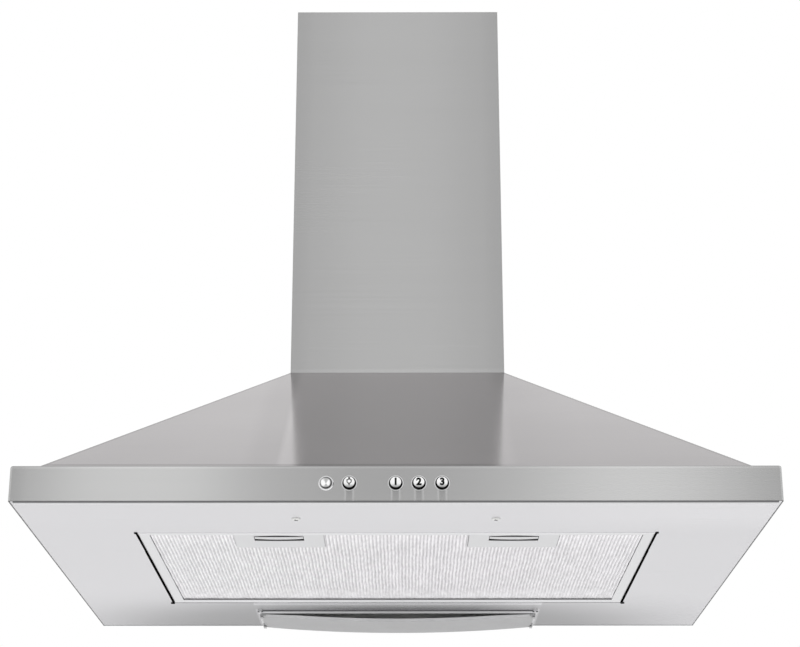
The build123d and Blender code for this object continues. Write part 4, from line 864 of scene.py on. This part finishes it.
# ---------------------------------------------------------------- filter
def ridged_face():
    """The filter's face: rounded ridges from front to back, cut round the two latch plates."""
    low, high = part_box("filter_face")
    rise = high.z - low.z - RIDGE_SHEET
    plates = [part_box("latch_plate_left"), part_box("latch_plate_right")]
    notch_back = plates[0][1].y + SHEET_GAP
    columns = RIDGE_COUNT * RIDGE_STEPS
    xs = [low.x + (high.x - low.x) * i / columns for i in range(columns + 1)]
    flat_from, flat_to, sheet_end = RIDGES_FADE
    ys = [low.y]
    ys += [notch_back + (flat_from - notch_back) * j / RIDGE_ROWS for j in range(RIDGE_ROWS + 1)]
    ys += [(flat_from + flat_to) / 2, flat_to, sheet_end]
    shape = bmesh.new()
    grid = []
    for y in ys:
        row = []
        for i, x in enumerate(xs):
            wander = sum(size * math.sin(along * y + turn * i) for size, along, turn in RIDGE_WANDER)
            edge = min(1.0, (x - low.x) / WANDER_FADE, (high.x - x) / WANDER_FADE)
            up = rise * 0.5 * (1 - math.cos(2 * math.pi * i / RIDGE_STEPS))
            up *= min(1.0, max(0.0, (flat_to - y) / (flat_to - flat_from)))
            row.append(shape.verts.new((x + wander * edge, y, low.z + RIDGE_SHEET / 2 + up)))
        grid.append(row)
    for j in range(len(ys) - 1):
        for i in range(columns):
            middle = (xs[i] + xs[i + 1]) / 2
            if j == 0 and any(p[0].x - SHEET_GAP < middle < p[1].x + SHEET_GAP for p in plates):
                continue
            shape.faces.new((grid[j][i], grid[j][i + 1], grid[j + 1][i + 1], grid[j + 1][i]))
    bmesh.ops.delete(shape, geom=[v for v in shape.verts if not v.link_faces], context="VERTS")
    mesh = to_mesh(shape, "ridged_face", angle=180)
    piece = new_piece("filter_face_ridged", mesh, FILTER_MESH, "filter", "filter_aluminium", "filter_face")
    skin = piece.modifiers.new("thickness", "SOLIDIFY")
    skin.thickness, skin.offset = RIDGE_SHEET, 0.0


ridged_face()


# ---------------------------------------------------------------- trims
def block(low, high, rounding=0.0):
    """A box from corner to corner, with rounded edges."""
    shape = bmesh.new()
    bmesh.ops.create_cube(shape, size=1.0)
    low, high = Vector(low), Vector(high)
    shape.transform(Matrix.Translation((low + high) / 2) @ Matrix.Diagonal((*(high - low), 1.0)))
    return rounded_off(shape, rounding)


def plate(outline, low, high, rounding=0.0):
    """A flat piece over an outline of (x, y) points."""
    shape = bmesh.new()
    face = shape.faces.new([shape.verts.new((x, y, low)) for x, y in outline])
    grown = bmesh.ops.extrude_face_region(shape, geom=[face])["geom"]
    top = [each for each in grown if isinstance(each, bmesh.types.BMVert)]
    bmesh.ops.translate(shape, verts=top, vec=(0, 0, high - low))
    bmesh.ops.recalc_face_normals(shape, faces=shape.faces)
    return rounded_off(shape, rounding)


def rounded_off(shape, rounding):
    """Rounds the sharp edges of a shape."""
    if rounding:
        sharp = [edge for edge in shape.edges if edge.calc_face_angle(0.0) > math.radians(40)]
        bmesh.ops.bevel(shape, geom=sharp, offset=rounding, segments=2, profile=0.6, affect="EDGES")
    return shape


def disc(x, y, low, high, radius):
    """A flat round piece."""
    shape = lathe([(0, low), (radius, low), (radius, high), (0, high)], 20)
    shape.transform(Matrix.Translation((x, y, 0)))
    return shape


def trim(name, shapes, material, body, slot, *replaced):
    """One piece from several shapes."""
    meshes = [to_mesh(shape, name) for shape in shapes]
    return new_piece(name, joined(name, meshes), material, body, slot, *replaced)


def arc(half, ends, middle, steps=16):
    """Points (x, y) of a shallow arc from -half to half, from its ends' place to its middle's."""
    radius = (half ** 2 + (middle - ends) ** 2) / (2 * abs(middle - ends))
    side = 1 if middle > ends else -1
    centre = middle - side * radius
    xs = [half * (2 * i / steps - 1) for i in range(steps + 1)]
    return [(x, centre + side * math.sqrt(radius ** 2 - x ** 2)) for x in xs]


def fold_trims():
    """Under the band's front: a dark strip of painted shadow where the fold lies in shade, and a thin bright
    hem below it.
    """
    face_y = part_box("apron_band")[0].y
    front, back = (face_y + depth for depth in FOLD_SHADOW_DEPTHS)
    shadow_strip = block((-FOLD_HALF, front, FOLD_Z), (FOLD_HALF, back, FOLD_SHADOW_TOP))
    trim("front_shadow_strip", [shadow_strip], SHADOW_STRIP_GREY, "root", "black_rubber")
    front, back = (face_y + depth for depth in HEM_DEPTHS)
    hem = block((-FOLD_HALF, front, FOLD_Z - HEM_HEIGHT), (FOLD_HALF, back, FOLD_Z), HEM_ROUNDING)
    trim("front_hem", [hem], HEM_BRIGHT, "root", "screw_steel")


def mirrored(outline, side):
    """An outline in mm, on its own side or the other."""
    return [(side * x * MM, y * MM) for x, y in outline]


def filter_trims():
    """Painted shadow: black strips in the gaps at the filter's sides, on the filter and on the panel, those
    on the panel with round ends; a dark strip where the ridges meet the frame's rear; and a bead.
    """
    end_x, end_y = PANEL_GAP_SHADOW_END
    side_shadow, panel_gap_shadow = [], []
    for side in (-1, 1):
        side_shadow += [plate(mirrored(outline, side), *SIDE_SHADOW_Z) for outline in (SIDE_SHADOW_STRIP, SIDE_SHADOW_TICK)]
        panel_gap_shadow.append(plate(mirrored(PANEL_GAP_SHADOW, side), *PANEL_GAP_SHADOW_Z))
        panel_gap_shadow.append(disc(side * end_x * MM, end_y * MM, *PANEL_GAP_SHADOW_END_Z, PANEL_GAP_SHADOW_END_RADIUS))
    trim("panel_gap_shadow", panel_gap_shadow, SHADOW_BLACK, "root", "black_rubber")
    trim("filter_side_shadow", side_shadow, SHADOW_BLACK, "filter", "black_rubber")
    trim("ridges_shadow_strip", [block(*RIDGES_SHADOW_STRIP)], SHADOW_STRIP_GREY, "filter", "black_rubber")
    trim("filter_bead", [block(*FILTER_BEAD)], HEM_BRIGHT, "filter", "filter_aluminium")


fold_trims()
filter_trims()


# ---------------------------------------------------------------- latches
def latch(name):
    """The pull as a bright lip over a dark core, and a bright raised edge in front of its mouth."""
    low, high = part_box("latch_pull_" + name)
    x, half = (low.x + high.x) / 2, (high.x - low.x) / 2
    front, join_z = low.y + PULL_FRONT, low.z + PULL_LIP_HEIGHT
    rear = arc(half, high.y - PULL_BOW, high.y)
    lip = plate([(-half, front), *rear, (half, front)], low.z, join_z, PULL_LIP_ROUNDING)
    core_half, core_front = CORE_SHARE * half, front + CORE_INSETS[0]
    core_rear = [(CORE_SHARE * px, py - CORE_INSETS[1]) for px, py in rear]
    core = plate([(-core_half, core_front), *core_rear, (core_half, core_front)], join_z, high.z)
    plate_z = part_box("latch_plate_" + name)[0].z
    behind = arc(half + MOUTH_EDGE_PAST, MOUTH_FRONT_ENDS, MOUTH_FRONT)
    ahead = [(px, py - MOUTH_EDGE_WIDTH) for px, py in behind]
    edge = plate(ahead + behind[::-1], *(plate_z + z for z in MOUTH_EDGE_Z), MOUTH_EDGE_ROUNDING)
    for shape in (lip, core, edge):
        shape.transform(Matrix.Translation((x, 0, 0)))
    body = body_with("latch_pull_" + name)
    trim("latch_lip_" + name, [lip], PULL_BRIGHT, body, "latch_metal", "latch_pull_" + name)
    trim("latch_core_" + name, [core], CUP_GREY, body, "latch_plastic")
    trim("mouth_edge_" + name, [edge], HEM_BRIGHT, "filter", "filter_aluminium")


latch("left")
latch("right")


# ---------------------------------------------------------------- lamp
def lamp_trims():
    """Painted shadow: dark dots at the ends of the lamp's front edge, and a dark strip on its frame's front.
    """
    low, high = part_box("lamp_frame")
    dot_low, dot_high = (low.z + z for z in LAMP_DOT_Z)
    shadow_dots = []
    for side in (-1, 1):
        for inset in LAMP_DOT_INSETS:
            x = side * (high.x - inset)
            shadow_dots.append(disc(x, low.y + LAMP_DOT_BACK, dot_low, dot_high, LAMP_DOT_RADIUS))
    trim("lamp_shadow_dots", shadow_dots, SHADOW_BLACK, "root", "clip_plastic")
    front, back = (low.y + depth for depth in LAMP_SHADOW_DEPTHS)
    strip_low = (low.x + LAMP_SHADOW_INSET, front, low.z + LAMP_SHADOW_GAP)
    strip_high = (high.x - LAMP_SHADOW_INSET, back, high.z - LAMP_SHADOW_GAP)
    trim("lamp_shadow_strip", [block(strip_low, strip_high)], SHADOW_STRIP_GREY, "root", "clip_plastic")


def diffuser_rim():
    """The diffuser's front edge has a low upright rim, which covers the edge and runs out at its ends."""
    low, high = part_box("lamp_diffuser")
    bow = high.z - low.z - DIFFUSER_SHEET
    top = [(x, z) for x, z in arc(high.x, high.z, high.z - bow, 64) if abs(x) < RIM_HALF]
    under = [(x, z - DIFFUSER_SHEET + RIM_FOOT) for x, z in top]
    over = [(x, z + RIM_RISE * min(1.0, (RIM_HALF - abs(x)) / RIM_TAPER)) for x, z in top]
    front, back = (low.y + depth for depth in RIM_DEPTHS)
    # the plate is made lying down, where its heights are places along Y with the sign changed
    rim = plate(under + over[::-1], -back, -front)
    rim.transform(Matrix.Rotation(math.radians(90), 4, "X"))
    trim("diffuser_rim", [rim], DIFFUSER_RIM_HIGHLIGHT, "root", "diffuser_plastic")


lamp_trims()
diffuser_rim()


# ---------------------------------------------------------------- studio
def make_camera():
    """The camera that the photograph's straight edges give."""
    data = bpy.data.cameras.new("photo_camera")
    data.lens, data.sensor_width, data.sensor_fit = LENS_MM, SENSOR_MM, "HORIZONTAL"
    camera = bpy.data.objects.new("photo_camera", data)
    scene.collection.objects.link(camera)
    camera.location = CAMERA_PLACE
    camera.rotation_euler = (math.radians(90 + CAMERA_PITCH), 0.0, math.radians(CAMERA_YAW))
    scene.camera = camera


def make_world():
    """A white studio: the front is a little darker, with two soft bright panels left and right."""
    world = bpy.data.worlds.new("studio")
    scene.world = world
    world.use_nodes = True
    tree = world.node_tree
    tree.nodes.clear()
    direction = node(tree, "TexCoord").outputs["Generated"]
    split = node(tree, "SeparateXYZ", {0: direction})
    ahead = remap(tree, maths(tree, "MULTIPLY", split.outputs["Y"], -1.0), 0.0, 1.0, 0.25, 0.8, True)
    aside = maths(tree, "ABSOLUTE", split.outputs["X"])
    panels = node(tree, "ValToRGB", {"Fac": aside})
    fill_ramp(panels.color_ramp, STUDIO_PANELS)
    light = blend(tree, ahead, (1.0, 1.0, 1.0, 1.0), panels.outputs["Color"])
    seen = node(tree, "LightPath").outputs["Is Camera Ray"]
    colour = blend(tree, seen, light, (1.0, 1.0, 1.0, 1.0))
    background = node(tree, "Background", {"Color": colour, "Strength": 1.0})
    output = node(tree, "OutputWorld", {"Surface": background.outputs["Background"]})
    output.is_active_output = True


def make_floor():
    """A pale floor far below, which can't be seen from underneath."""
    shape = bmesh.new()
    bmesh.ops.create_grid(shape, x_segments=1, y_segments=1, size=6.0)
    mesh = bpy.data.meshes.new("floor")
    shape.to_mesh(mesh)
    shape.free()
    floor = bpy.data.objects.new("floor", mesh)
    scene.collection.objects.link(floor)
    floor.location = (0, 0, FLOOR_Z)
    made, tree, shader = new_material("floor_white", Roughness=0.9)
    shader.inputs["Base Color"].default_value = (0.92, 0.92, 0.92, 1.0)
    under = node(tree, "NewGeometry").outputs["Backfacing"]
    clear = node(tree, "BsdfTransparent")
    either = node(tree, "MixShader", {0: under, 1: shader.outputs["BSDF"], 2: clear.outputs["BSDF"]})
    tree.links.new(either.outputs["Shader"], tree.nodes["Material Output"].inputs["Surface"])
    dress(floor, made)


def soft_lamp(name, place_at, aim, size, power):
    """A square area lamp that no reflection shows."""
    data = bpy.data.lights.new(name, "AREA")
    data.shape, data.size, data.energy = "SQUARE", size, power
    lamp = bpy.data.objects.new(name, data)
    scene.collection.objects.link(lamp)
    lamp.location = place_at
    lamp.rotation_euler = (Vector(aim) - Vector(place_at)).to_track_quat("-Z", "Y").to_euler()
    lamp.visible_glossy = False


make_camera()
make_world()
make_floor()
soft_lamp("key_lamp", (-1.8, -2.4, 2.2), (0, -0.25, 0.25), 1.6, 30.0)
soft_lamp("fill_lamp", (2.2, -1.8, 0.4), (0, -0.25, 0.2), 1.8, 14.0)

view = scene.view_settings
view.view_transform = "Standard"
